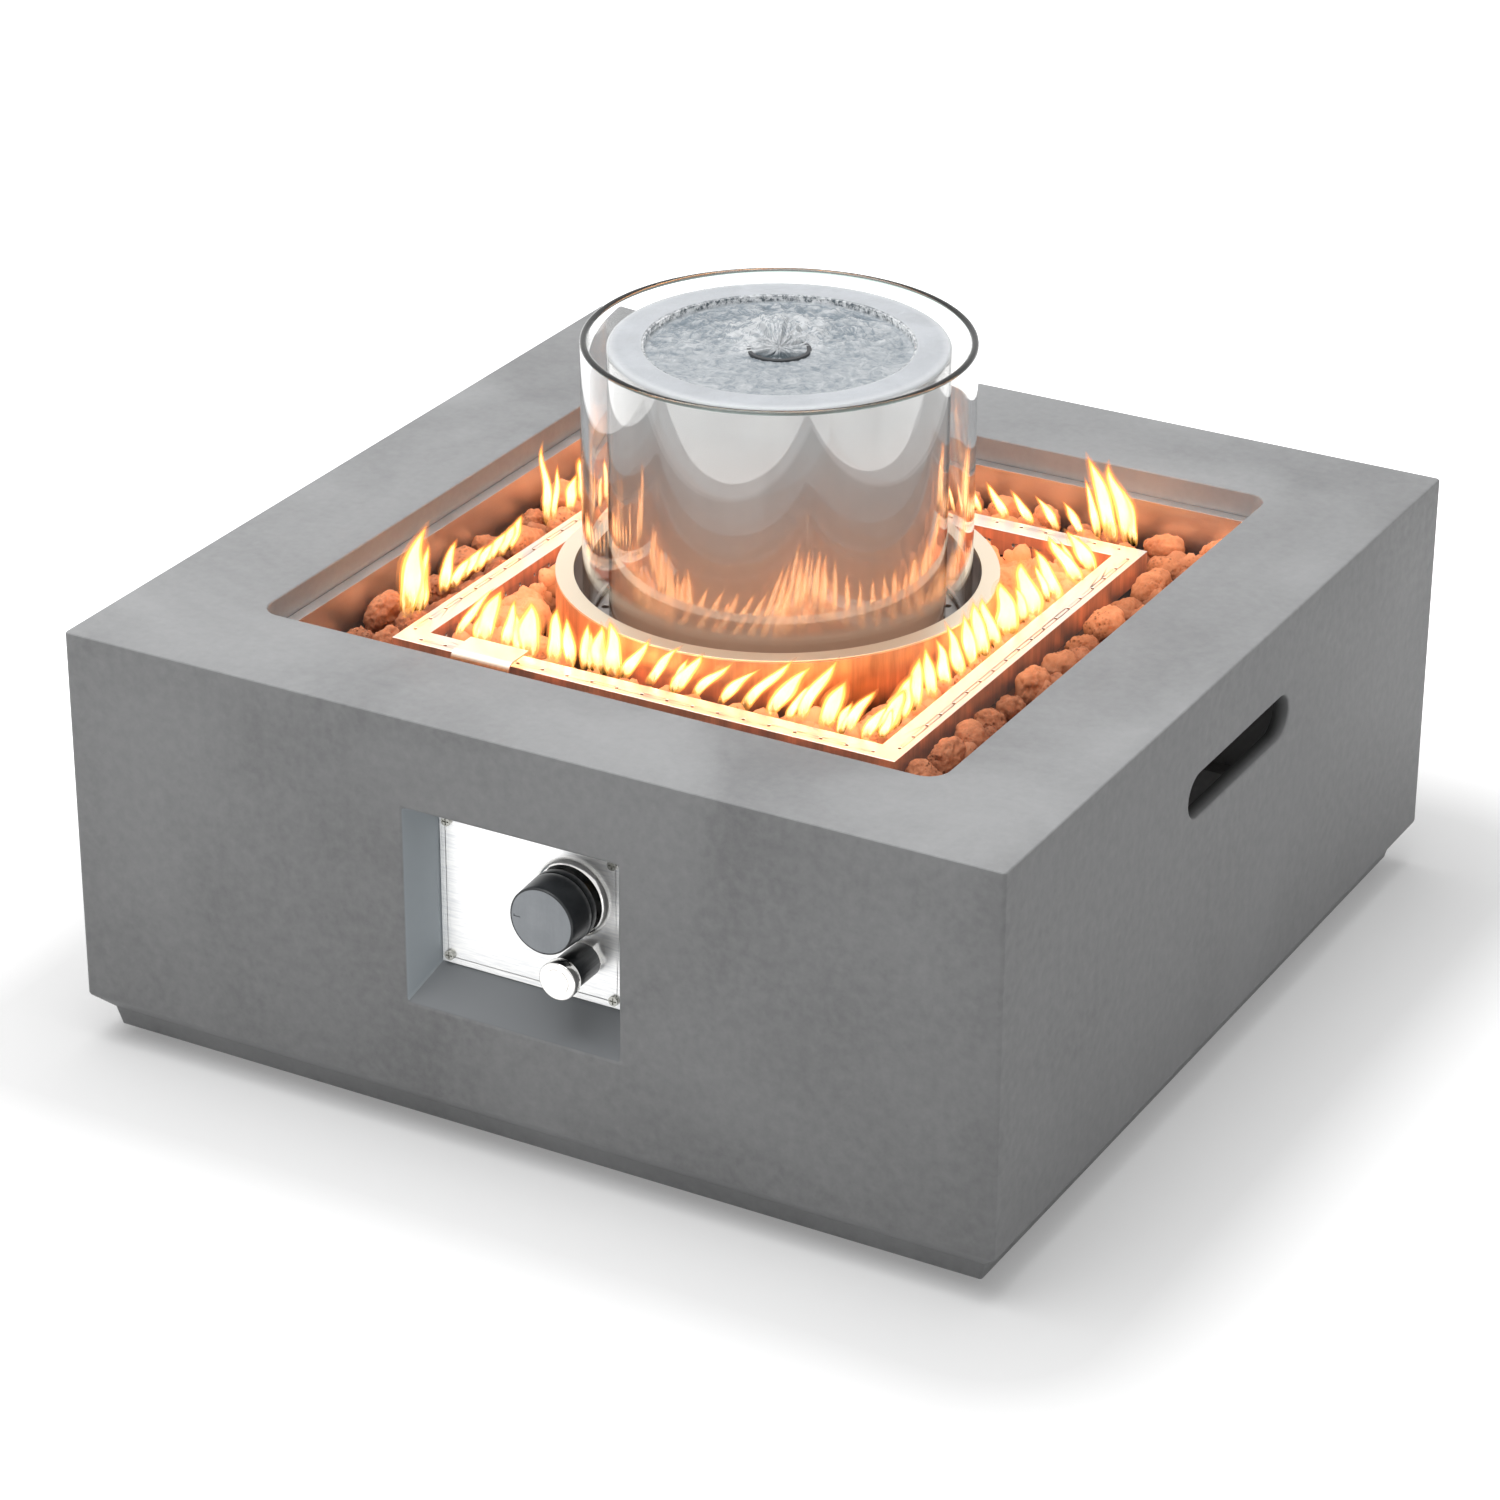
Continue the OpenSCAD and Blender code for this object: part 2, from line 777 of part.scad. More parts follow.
module air_mixer() {
    color([0.7, 0.7, 0.68]) translate([inlet_x, inlet_y, mixer_bottom]) difference() {
        cylinder(h = mixer_len, d = mixer_d);
        translate([0, 0, mixer_len - inlet_tail]) cylinder(h = inlet_tail + cut, d = inlet_d);
        translate([0, 0, mixer_t]) cylinder(h = mixer_len, d = inlet_bore);
        translate([0, 0, mixer_t])
            cylinder(h = mixer_len - inlet_tail - 2 * mixer_t, d = mixer_d - 2 * mixer_t);
        translate([0, 0, -cut]) cylinder(h = mixer_t + 2 * cut, d = orifice_d);
        for (turn = [0, 1]) rotate(turn * full_turn / 4)
            translate([0, 0, mixer_window_z + mixer_window_h / 2])
                cube([mixer_d + 2 * cut, mixer_window_w, mixer_window_h], center = true);
    }
}

module gas_orifice() {
    color([0.83, 0.66, 0.32]) translate([inlet_x, inlet_y, mixer_bottom]) {
        translate([0, 0, -orifice_len]) cylinder(h = orifice_len, d = mixer_d - mixer_t, $fn = 6);
        difference() {
            cylinder(h = mixer_window_z, d = orifice_d);
            translate([0, 0, mixer_t]) cylinder(h = mixer_window_z, d = port_d);
        }
    }
}

module burner_hose() {
    start = [valve_out_x, valve_end + port_len, knob_z];
    finish = [inlet_x, inlet_y, mixer_bottom - orifice_len];
    low = finish[2] - hose_bend * 2 / 3;
    color([0.74, 0.74, 0.72]) swept_tube(rounded([
        start, start + [0, hose_bend, 0],
        [start[0], start[1] + hose_bend, low], [finish[0], finish[1], low], finish
    ], hose_bend), hose_d);
}

module electrode_shield() {
    y_out = -burner_half - shield_gap - shield_t;
    y_in = -burner_half + shield_cover;
    top = burner_top + shield_rise;
    color([0.9, 0.89, 0.87]) {
        translate([shield_x - shield_w / 2, y_out, top]) cube([shield_w, y_in - y_out, shield_t]);
        translate([shield_x - shield_w / 2, y_out, top - shield_skirt])
            cube([shield_w, shield_t, shield_skirt]);
        for (x = [shield_x - shield_w / 2, shield_x + shield_w / 2 - shield_leg])
            translate([x, y_out, bowl_floor]) cube([shield_leg, shield_t, top - bowl_floor]);
    }
}

module electrode_ceramic() {
    color([0.94, 0.93, 0.9]) translate([electrode_x, probe_y, probe_bottom])
        cylinder(h = burner_top - tube_w / 4 - probe_bottom, d = ceramic_d);
}

module electrode_tip() {
    z = burner_top - tube_w / 4;
    color([0.6, 0.58, 0.55]) {
        translate([electrode_x, probe_y, z]) cylinder(h = tip_z - z, d = tip_d);
        translate([electrode_x, probe_y, tip_z]) sphere(d = tip_d);
        rod(electrode_x, tip_z, tip_d, probe_y, -burner_half + port_edge);
    }
}

module thermocouple_probe() {
    color([0.72, 0.5, 0.34]) translate([thermo_x, probe_y, probe_bottom])
        cylinder(h = burner_top + shield_rise / 2 - probe_bottom, d = ceramic_d);
}

module electrode_lead() {
    start = [electrode_x, probe_y, probe_bottom];
    finish = [igniter_x, barrel_end + terminal_len, igniter_z];
    color([0.12, 0.12, 0.12]) swept_tube(rounded([
        start, start - [0, 0, lead_bend], [electrode_x + lead_bend, inlet_y - lead_bend, igniter_z],
        [igniter_x, finish[1] + lead_bend / 2, igniter_z], finish
    ], lead_bend), electrode_lead_d);
}

module thermocouple_lead() {
    start = [thermo_x, probe_y, probe_bottom];
    finish = [knob_x + port_side, valve_end, knob_z + valve_h / 3];
    color([0.7, 0.45, 0.28]) swept_tube(rounded([
        start, start - [0, 0, lead_bend / 2], [thermo_x + lead_bend, probe_y - lead_bend / 2, finish[2]],
        [finish[0], finish[1] + lead_bend, finish[2]], finish
    ], lead_bend), thermo_lead_d);
}

module control_panel() {
    color([0.87, 0.87, 0.86]) difference() {
        slab([recess_back[0] + slip, recess_back[1] - slip, recess_back[2] + slip, recess_back[3] - slip],
             panel_y, flange_y);
        rod(knob_x, knob_z, boss_d, panel_y - cut, flange_y + cut);
        rod(igniter_x, igniter_z, barrel_thread_d, panel_y - cut, flange_y + cut);
        for (p = panel_holes()) rod(p[0], p[1], screw_d, panel_y - cut, flange_y + cut);
        for (s = [-1, 1]) rod(knob_x + s * valve_screw_side, knob_z, screw_d, panel_y - cut, flange_y + cut);
    }
}

// A round-headed screw along +Y with a cross slot, its head's underside at y
module screw(x, z, y, shank) {
    difference() {
        rod(x, z, screw_head_d, y - screw_head_h, y);
        for (turn = [0, 1]) translate([x, y - screw_head_h, z]) rotate([0, turn * full_turn / 4, 0])
            cube([screw_slot_len, 2 * screw_slot_depth, screw_slot_w], center = true);
    }
    rod(x, z, screw_d, y, y + shank);
}

// The four screws of the panel, and the two that hold the valve to it
module panel_screws() {
    color([0.6, 0.6, 0.6]) {
        for (p = panel_holes()) screw(p[0], p[1], panel_y, panel_t + flange_t);
        for (s = [-1, 1])
            screw(knob_x + s * valve_screw_side, knob_z, panel_y, panel_t + screw_len - cut);
    }
}

module gas_valve() {
    color([0.78, 0.66, 0.4]) difference() {
        union() {
            translate([knob_x - valve_w / 2, flange_y, knob_z - valve_h / 2])
                cube([valve_w, valve_len, valve_h]);
            rod(knob_x, knob_z, boss_d, panel_y - bezel_h - boss_proud, flange_y);
            rod(valve_out_x, knob_z, port_od, valve_end, valve_end + port_len);
            translate([knob_x - valve_w / 2 - port_len, supply_port_y, supply_port_z])
                rotate([0, 90, 0]) cylinder(h = port_len, d = port_od);
        }
        rod(knob_x, knob_z, stem_d + 2 * run, knob_y, flange_y + stem_in + push_travel + cut);
        rod(knob_x, knob_z, plunger_d + 2 * run, flange_y,
            flange_y + stem_in + plunger_len + 2 * push_travel);
        for (s = [-1, 1])
            rod(knob_x + s * valve_screw_side, knob_z, screw_d, flange_y - cut, flange_y + screw_len);
    }
}

module valve_plunger() {
    y0 = flange_y + stem_in + slip;
    color([0.8, 0.66, 0.36]) rod(knob_x, knob_z, plunger_d, y0, y0 + plunger_len);
}

// The stem has a flat where the knob's hub grips it
module stem_solid() {
    difference() {
        rod(knob_x, knob_z, stem_d, knob_y + stem_seat, flange_y + stem_in);
        translate([knob_x - stem_d, knob_y + stem_seat - cut, knob_z + stem_d / 2 - stem_flat])
            cube([2 * stem_d, knob_len - knob_skirt - stem_seat + cut, stem_d]);
    }
}

module valve_stem() {
    color([0.85, 0.72, 0.42]) stem_solid();
}

module knob_bezel() {
    color([0.86, 0.86, 0.87]) translate([knob_x, panel_y, knob_z]) rotate([90, 0, 0])
        rotate_extrude() polygon([
            [bezel_d / 2 - bezel_lip, 0], [bezel_d / 2, 0], [bezel_d / 2, bezel_t],
            [bezel_d / 2 - bezel_lip, bezel_h - bezel_t], [bezel_d / 2 - 2 * bezel_lip, bezel_h],
            [boss_d / 2, bezel_h], [boss_d / 2, bezel_h - bezel_t],
            [bezel_d / 2 - 2 * bezel_lip, bezel_h - bezel_t], [bezel_d / 2 - bezel_lip - bezel_t, bezel_t]
        ]);
}

module control_knob() {
    rear_r = knob_d / 2;
    front_r = knob_front_d / 2;
    groove = knob_groove_in + knob_groove_w;
    color([0.08, 0.09, 0.1]) difference() {
        translate([knob_x, knob_y + knob_len, knob_z]) rotate([90, 0, 0]) rotate_extrude() polygon([
            [0, knob_skirt], [rear_r - knob_wall, knob_skirt], [rear_r - knob_wall, 0],
            [rear_r - knob_edge, 0], [rear_r, knob_edge], [rear_r, knob_groove_in],
            [rear_r - knob_groove_depth, knob_groove_in], [rear_r - knob_groove_depth, groove],
            [rear_r, groove], [front_r, knob_len - knob_edge], [front_r - knob_edge, knob_len], [0, knob_len]
        ]);
        rod(knob_x, knob_z, knob_front_d - 2 * knob_rim, knob_y - cut, knob_y + knob_face_t);
        stem_solid();
    }
}

// The satin disc in the knob's front, with a pointer line on its left
module knob_face() {
    front = knob_y + knob_face_sunk;
    color([0.45, 0.46, 0.48]) difference() {
        rod(knob_x, knob_z, knob_front_d - 2 * knob_rim, front, knob_y + knob_face_t);
        translate([knob_x - knob_front_d / 2 + pointer_in, front - cut, knob_z - pointer_w / 2])
            cube([pointer_len, (knob_face_t - knob_face_sunk) / 2 + cut, pointer_w]);
    }
}

module igniter_barrel() {
    front = collar_y + collar_lip;
    color([0.07, 0.08, 0.08]) difference() {
        union() {
            rod(igniter_x, igniter_z, barrel_front_d, front, panel_y - nut_h);
            rod(igniter_x, igniter_z, barrel_thread_d, panel_y - nut_h, barrel_end);
            rod(igniter_x, igniter_z, terminal_d, barrel_end, barrel_end + terminal_len);
        }
        rod(igniter_x, igniter_z, button_d + 2 * button_rim + 2 * slip,
            front - cut, front + slip + button_rim_h + button_travel + button_room);
        rod(igniter_x, igniter_z, barrel_bore_d, front - cut, barrel_end - barrel_land);
    }
}

module igniter_nut() {
    color([0.85, 0.85, 0.86]) difference() {
        hex_rod(igniter_x, igniter_z, nut_d, panel_y - nut_h, panel_y);
        rod(igniter_x, igniter_z, barrel_thread_d, panel_y - nut_h - cut, panel_y + cut);
    }
}

module igniter_battery() {
    y1 = barrel_end - barrel_land;
    color([0.25, 0.3, 0.4]) rod(igniter_x, igniter_z, battery_d, y1 - battery_len, y1);
}

module igniter_collar() {
    color([0.86, 0.86, 0.85]) translate([igniter_x, collar_y, igniter_z]) rotate([-90, 0, 0])
        rotate_extrude() polygon([
            [button_d / 2 + run, 0], [collar_d / 2 - collar_edge, 0], [collar_d / 2, collar_edge],
            [collar_d / 2, collar_len], [barrel_front_d / 2, collar_len],
            [barrel_front_d / 2, collar_lip], [button_d / 2 + run, collar_lip]
        ]);
}

module igniter_button() {
    rim_y = collar_y + collar_lip + slip;
    stud_end = barrel_end - barrel_land - battery_len - button_travel - slip;
    color([0.9, 0.9, 0.88]) {
        rod(igniter_x, igniter_z, button_d, collar_y - button_proud, rim_y);
        rod(igniter_x, igniter_z, button_d + 2 * button_rim, rim_y, rim_y + button_rim_h);
        rod(igniter_x, igniter_z, button_stud_d, rim_y + button_rim_h, stud_end);
    }
}

// The pipe dips under the basin on its way to the valve
module supply_pipe() {
    start = [-inlet_side, service_y - service_t - flare_tail, service_z];
    finish = [knob_x - valve_w / 2 - port_len, supply_port_y, supply_port_z];
    color([0.8, 0.8, 0.8]) swept_tube(rounded([
        start, [-inlet_side, ring_r + pipe_bend, service_z], [-inlet_side, ring_r, pipe_low],
        [-inlet_side, finish[1], pipe_low], [-inlet_side, finish[1], finish[2]], finish
    ], pipe_bend), supply_d);
}

module gas_inlet() {
    x = -inlet_side;
    color([0.82, 0.66, 0.33]) difference() {
        union() {
            rod(x, service_z, flare_d, service_y - service_t - flare_tail,
                service_y + flare_hex_h + flare_len);
            hex_rod(x, service_z, flare_hex, service_y, service_y + flare_hex_h);
        }
        rod(x, service_z, flare_bore, service_y, service_y + flare_hex_h + flare_len + cut);
    }
}

module gas_inlet_nut() {
    color([0.8, 0.66, 0.36]) difference() {
        hex_rod(-inlet_side, service_z, flare_hex, service_y - service_t - nut_t, service_y - service_t);
        rod(-inlet_side, service_z, flare_d, service_y - service_t - nut_t - cut, service_y);
    }
}

module service_plate() {
    w = service_w + 2 * service_gap;
    h = service_h + 2 * service_gap;
    color([0.82, 0.82, 0.81]) difference() {
        slab([-w / 2, w / 2, service_z - h / 2, service_z + h / 2], service_y - service_t, service_y);
        rod(-inlet_side, service_z, flare_d, service_y - service_t - cut, service_y + cut);
        rod(inlet_side, service_z, socket_d, service_y - service_t - cut, service_y + cut);
        for (p = service_holes()) rod(p[0], p[1], screw_d, service_y - service_t - cut, service_y + cut);
    }
}

// These screws are driven from inside the body
module service_screws() {
    color([0.6, 0.6, 0.6]) for (p = service_holes())
        screw(p[0], p[1], service_y - service_t, screw_len);
}

module power_socket() {
    color([0.1, 0.1, 0.1]) difference() {
        union() {
            rod(inlet_side, service_z, socket_d, service_y - service_t - socket_tail, service_y);
            rod(inlet_side, service_z, socket_flange_d, service_y, service_y + socket_flange_h);
        }
        rod(inlet_side, service_z, socket_bore, service_y + socket_flange_h - socket_depth,
            service_y + socket_flange_h + cut);
    }
}

module power_socket_nut() {
    color([0.75, 0.75, 0.76]) difference() {
        hex_rod(inlet_side, service_z, socket_flange_d, service_y - service_t - nut_t, service_y - service_t);
        rod(inlet_side, service_z, socket_d, service_y - service_t - nut_t - cut, service_y);
    }
}

// Upright heat shield, turned in at its foot, that carries the basin's rim
module ring_wall() {
    color([0.86, 0.82, 0.76]) rotate_extrude() polygon([
        [bowl_hole_r, bowl_floor], [ring_r, bowl_floor], [ring_r, ring_top - sheet_t],
        [ring_r - sheet_t, ring_top - sheet_t], [ring_r - sheet_t, bowl_floor + sheet_t],
        [bowl_hole_r, bowl_floor + sheet_t]
    ]);
}

module water_basin() {
    color([0.84, 0.83, 0.8]) difference() {
        union() {
            rotate_extrude() polygon([
                [0, basin_floor - sheet_t], [basin_r, basin_floor - sheet_t], [basin_r, ring_top - sheet_t],
                [ring_r, ring_top - sheet_t], [ring_r, ring_top], [ring_in, ring_top],
                [ring_in, basin_floor], [0, basin_floor]
            ]);
            for (side = [0 : 3]) rotate((side + 1 / 2) * full_turn / 4)
                translate([ring_in - tab_len, -tab_w / 2, deck_top - deck_t - tab_t])
                    cube([tab_len + sheet_t / 2, tab_w, tab_t]);
        }
        rod(0, grommet_z, grommet_hole, ring_in / 2, ring_r);
    }
}

module deck_plate() {
    weep_r = (glass_in + drum_r) / 2;
    color([0.8, 0.8, 0.79]) translate([0, 0, deck_top - deck_t]) difference() {
        cylinder(h = deck_t, r = deck_r);
        translate([0, 0, -cut]) cylinder(h = deck_t + 2 * cut, d = riser_d + 2 * run);
        for (k = [0 : weep_count - 1]) rotate(k * full_turn / weep_count)
            translate([weep_r, 0, -cut]) cylinder(h = deck_t + 2 * cut, d = weep_d);
    }
}

module glass_gasket() {
    color([0.2, 0.2, 0.2]) tube(glass_r + gasket_over, glass_in - gasket_over, deck_top, deck_top + gasket_t);
}

module glass_cylinder() {
    color([0.82, 0.9, 0.88, 0.35]) tube(glass_r, glass_in, glass_bottom, glass_top);
}

module drum_sleeve() {
    color([0.62, 0.65, 0.68]) tube(drum_r, drum_r - drum_t, deck_top, drum_top - drum_t);
}

module drum_cap() {
    color([0.7, 0.72, 0.75]) rotate_extrude() polygon([
        [riser_bore / 2, dish_floor - drum_t], [weir_r + drum_t, dish_floor - drum_t],
        [weir_r + drum_t, drum_top - drum_t], [drum_r, drum_top - drum_t], [drum_r, drum_top],
        [weir_r, drum_top], [weir_r, dish_floor], [riser_bore / 2, dish_floor]
    ]);
}

module fountain_nozzle() {
    foot = dish_floor - drum_t - spigot_len;
    color([0.3, 0.32, 0.35]) rotate_extrude() polygon([
        [riser_bore / 2 - spigot_t, foot], [riser_bore / 2, foot], [riser_bore / 2, dish_floor],
        [nozzle_d / 2, dish_floor], [nozzle_d / 2, dish_floor + nozzle_h],
        [nozzle_d / 2 - nozzle_wall, dish_floor + nozzle_h],
        [nozzle_d / 2 - nozzle_wall, dish_floor + nozzle_wall],
        [riser_bore / 2 - spigot_t, dish_floor + nozzle_wall / 2]
    ]);
}

module riser_pipe() {
    color([0.85, 0.85, 0.85]) tube(riser_d / 2, riser_bore / 2, pump_top + pump_neck, dish_floor - drum_t);
}

module water_pump() {
    slot_pitch = pump_h / (pump_slots + 1);
    color([0.14, 0.15, 0.17]) difference() {
        union() {
            translate([0, 0, pump_bottom]) linear_extrude(pump_h) {
                square([pump_w, pump_d - 2 * pump_r], center = true);
                square([pump_w - 2 * pump_r, pump_d], center = true);
                for (x = [-1, 1]) for (y = [-1, 1])
                    translate([x * (pump_w / 2 - pump_r), y * (pump_d / 2 - pump_r)]) circle(pump_r);
            }
            translate([0, 0, pump_top]) cylinder(h = pump_neck, d = riser_d);
            translate([0, 0, pump_top]) cylinder(h = pump_neck + spigot_len, d = riser_bore);
        }
        translate([0, 0, pump_top - pump_grille])
            cylinder(h = pump_neck + spigot_len + pump_grille + cut, d = riser_bore - 2 * spigot_t);
        for (k = [1 : pump_slots])
            translate([0, -pump_d / 2, pump_bottom + k * slot_pitch])
                cube([pump_w * pump_slot_share, 2 * pump_grille, slot_pitch / 2], center = true);
    }
}

module pump_feet() {
    color([0.85, 0.86, 0.86]) for (x = [-1, 1]) for (y = [-1, 1])
        translate([x * (pump_w - pump_foot_d) / 2, y * (pump_d - pump_foot_d) / 2, basin_floor])
            cylinder(h = pump_foot_h, d1 = pump_foot_d, d2 = pump_foot_d / 2);
}

module pump_cable() {
    start = [0, pump_d / 2, pump_bottom + pump_h / 2];
    finish = [inlet_side, service_y - service_t - socket_tail, service_z];
    inside = ring_in - lead_bend;
    outside = ring_r + lead_bend;
    color([0.1, 0.1, 0.1]) swept_tube(rounded([
        start, start + [0, lead_bend, 0], [0, inside, grommet_z - lead_bend], [0, inside, grommet_z],
        [0, outside, grommet_z], [inlet_side, finish[1] - 2 * lead_bend, service_z], finish
    ], lead_bend / 2), cable_d);
}

// Its flanges hold the basin's curved wall between them
module cable_grommet() {
    d = grommet_hole + grommet_flange;
    y0 = ring_in + (sheet_t - grommet_len) / 2;
    y1 = y0 + grommet_len;
    color([0.12, 0.12, 0.12]) difference() {
        union() {
            rod(0, grommet_z, grommet_hole - 2 * run, y0, y1);
            rod(0, grommet_z, d, y0, sqrt(pow(ring_in, 2) - pow(d / 2, 2)));
            rod(0, grommet_z, d, basin_r, y1);
        }
        rod(0, grommet_z, cable_d + 2 * run, y0 - cut, y1 + cut);
    }
}

// Lava rocks: twenty-faced stones of uneven radius
golden = (1 + sqrt(5)) / 2;
ico_points = [
    [-1, golden, 0], [1, golden, 0], [-1, -golden, 0], [1, -golden, 0],
    [0, -1, golden], [0, 1, golden], [0, -1, -golden], [0, 1, -golden],
    [golden, 0, -1], [golden, 0, 1], [-golden, 0, -1], [-golden, 0, 1]
];
ico_faces = [
    [5, 11, 0], [1, 5, 0], [7, 1, 0], [10, 7, 0], [11, 10, 0],
    [9, 5, 1], [4, 11, 5], [2, 10, 11], [6, 7, 10], [8, 1, 7],
    [4, 9, 3], [2, 4, 3], [6, 2, 3], [8, 6, 3], [9, 8, 3],
    [5, 9, 4], [11, 4, 2], [10, 2, 6], [7, 6, 8], [1, 8, 9]
];

function turned(p, a, b) =
    let (q = [p[0], p[1] * cos(a) - p[2] * sin(a), p[1] * sin(a) + p[2] * cos(a)])
    [q[0] * cos(b) - q[1] * sin(b), q[0] * sin(b) + q[1] * cos(b), q[2]];

// One rock, length along X, that stands on the bowl's floor
module rock(x, y, length, seed) {
    swell = rands(rock_hollow_share, 1, len(ico_points), seed);
    turns = rands(0, full_turn, 2, seed + 1);
    height = rands(rock_low_share, 1, 1, seed + 2)[0] * rock_h;
    points = [
        for (k = [0 : len(ico_points) - 1])
            let (p = swell[k] * turned(unit(ico_points[k]), turns[0], turns[1]))
            [p[0] * length / 2, p[1] * rock_row_w / 2, p[2] * height / 2]
    ];
    low = min([for (p = points) p[2]]);
    translate([x, y, bowl_floor - low]) polyhedron(points, ico_faces);
}

function sum_of(v, n) = n == 0 ? 0 : v[n - 1] + sum_of(v, n - 1);

// A row along X of rocks of uneven lengths that together fill it
module rock_row(x0, x1, y, seed) {
    room = x1 - x0;
    n = max(floor((room + rock_gap) / (rock_mean + rock_gap)), room > rock_short ? 1 : 0);
    if (n > 0) {
        lengths = rands(rock_short, rock_long, n, seed);
        stretch = (room - (n - 1) * rock_gap) / sum_of(lengths, n);
        for (i = [0 : n - 1])
            rock(x0 + stretch * (sum_of(lengths, i) + lengths[i] / 2) + i * rock_gap, y,
                 stretch * lengths[i], seed + seed_step * (i + 1));
    }
}

row_in = burner_half + rock_gap + rock_row_w / 2;
row_out = bowl_in - rock_gap - rock_row_w / 2;
shield_half = shield_w / 2 + rock_gap;

// The rocks in the trough on one side of the burner
module rock_strip(reach, side) {
    color([0.72, 0.42, 0.28]) rotate(side * full_turn / 4) {
        rock_row(-reach, reach, -row_out, rock_seed * (side + 1));
        if (side == 0) {
            rock_row(-reach, shield_x - shield_half, -row_in, 2 * rock_seed);
            rock_row(shield_x + shield_half, reach, -row_in, 3 * rock_seed);
        } else {
            rock_row(-reach, reach, -row_in, rock_seed * (side + 4));
        }
    }
}

module rocks_front() { rock_strip(bowl_in - rock_gap, 0); }
module rocks_right() { rock_strip(burner_half, 1); }
module rocks_back() { rock_strip(bowl_in - rock_gap, 2); }
module rocks_left() { rock_strip(burner_half, 3); }

// Rows of rocks in an inner corner, between the ring wall and the tube
module rock_corner(sx, sy) {
    step = rock_row_w + rock_gap;
    edge = tube_in - rock_gap;
    clear_r = ring_r + rock_gap;
    mirror([sx < 0 ? 1 : 0, 0, 0]) for (j = [0 : floor(edge / step) - 1])
        let (near = edge - j * step - rock_row_w)
        if (near < clear_r)
            rock_row(sqrt(pow(clear_r, 2) - pow(near, 2)), edge,
                     sy * (near + rock_row_w / 2), rock_seed * (9 + 2 * sx + sy) + j);
}

module rocks_corners() {
    color([0.76, 0.45, 0.3]) for (sx = [-1, 1]) for (sy = [-1, 1]) rock_corner(sx, sy);
}

rim_slab();
bowl_ledge();
side_walls();
end_walls();
plinth_band();
foot_pads();
foot_screws();
fire_bowl();
burner_frame();
burner_brackets();
burner_inlet();
inlet_locknut();
air_mixer();
gas_orifice();
burner_hose();
electrode_shield();
electrode_ceramic();
electrode_tip();
electrode_lead();
thermocouple_probe();
thermocouple_lead();
control_panel();
panel_screws();
gas_valve();
valve_plunger();
valve_stem();
knob_bezel();
control_knob();
knob_face();
igniter_barrel();
igniter_nut();
igniter_battery();
igniter_collar();
igniter_button();
supply_pipe();
gas_inlet();
gas_inlet_nut();
service_plate();
service_screws();
power_socket();
power_socket_nut();
ring_wall();
water_basin();
deck_plate();
glass_gasket();
glass_cylinder();
drum_sleeve();
drum_cap();
fountain_nozzle();
riser_pipe();
water_pump();
pump_feet();
pump_cable();
cable_grommet();
rocks_front();
rocks_back();
rocks_left();
rocks_right();
rocks_corners();
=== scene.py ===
"""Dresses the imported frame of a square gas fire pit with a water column.

The sizes in the sub-assemblies' dataclasses are in millimetres. The finishes, the
studio and the meshes are in metres. The origin is on the floor under the middle of
the body, +X is to the right of the control panel, -Y is the front and +Z is up.
"""

import json
import logging
import math
import random
from dataclasses import dataclass, field
from enum import Enum
from typing import Callable, Iterable, Optional, Sequence, Union

import bmesh
import bpy
from mathutils import Matrix, Vector, noise


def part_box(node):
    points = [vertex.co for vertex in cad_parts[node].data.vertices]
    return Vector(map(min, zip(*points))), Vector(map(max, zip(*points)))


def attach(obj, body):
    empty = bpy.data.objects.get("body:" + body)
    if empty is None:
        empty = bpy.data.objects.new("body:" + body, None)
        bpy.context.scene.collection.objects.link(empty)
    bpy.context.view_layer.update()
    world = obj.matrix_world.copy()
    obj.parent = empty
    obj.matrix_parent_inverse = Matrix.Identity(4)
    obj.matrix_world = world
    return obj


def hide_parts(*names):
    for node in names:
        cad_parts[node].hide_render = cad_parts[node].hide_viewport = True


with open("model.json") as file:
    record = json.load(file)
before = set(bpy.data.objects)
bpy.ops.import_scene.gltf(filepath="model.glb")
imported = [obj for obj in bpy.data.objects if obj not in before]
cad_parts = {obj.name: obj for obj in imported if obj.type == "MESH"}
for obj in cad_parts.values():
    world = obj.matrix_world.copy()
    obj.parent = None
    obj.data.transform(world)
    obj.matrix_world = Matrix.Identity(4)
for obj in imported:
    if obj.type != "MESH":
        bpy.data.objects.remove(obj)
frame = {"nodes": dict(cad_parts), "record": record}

MM = 0.001
FULL_TURN = 2 * math.pi
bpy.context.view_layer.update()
log = logging.getLogger("fire_pit")

Colour = tuple[float, float, float]
Ring = list[Vector]
Spread = tuple[float, float]
Box = tuple[tuple[int, float, float], ...]
Socket = bpy.types.NodeSocket
Value = Union[float, tuple, Socket]


# Node trees


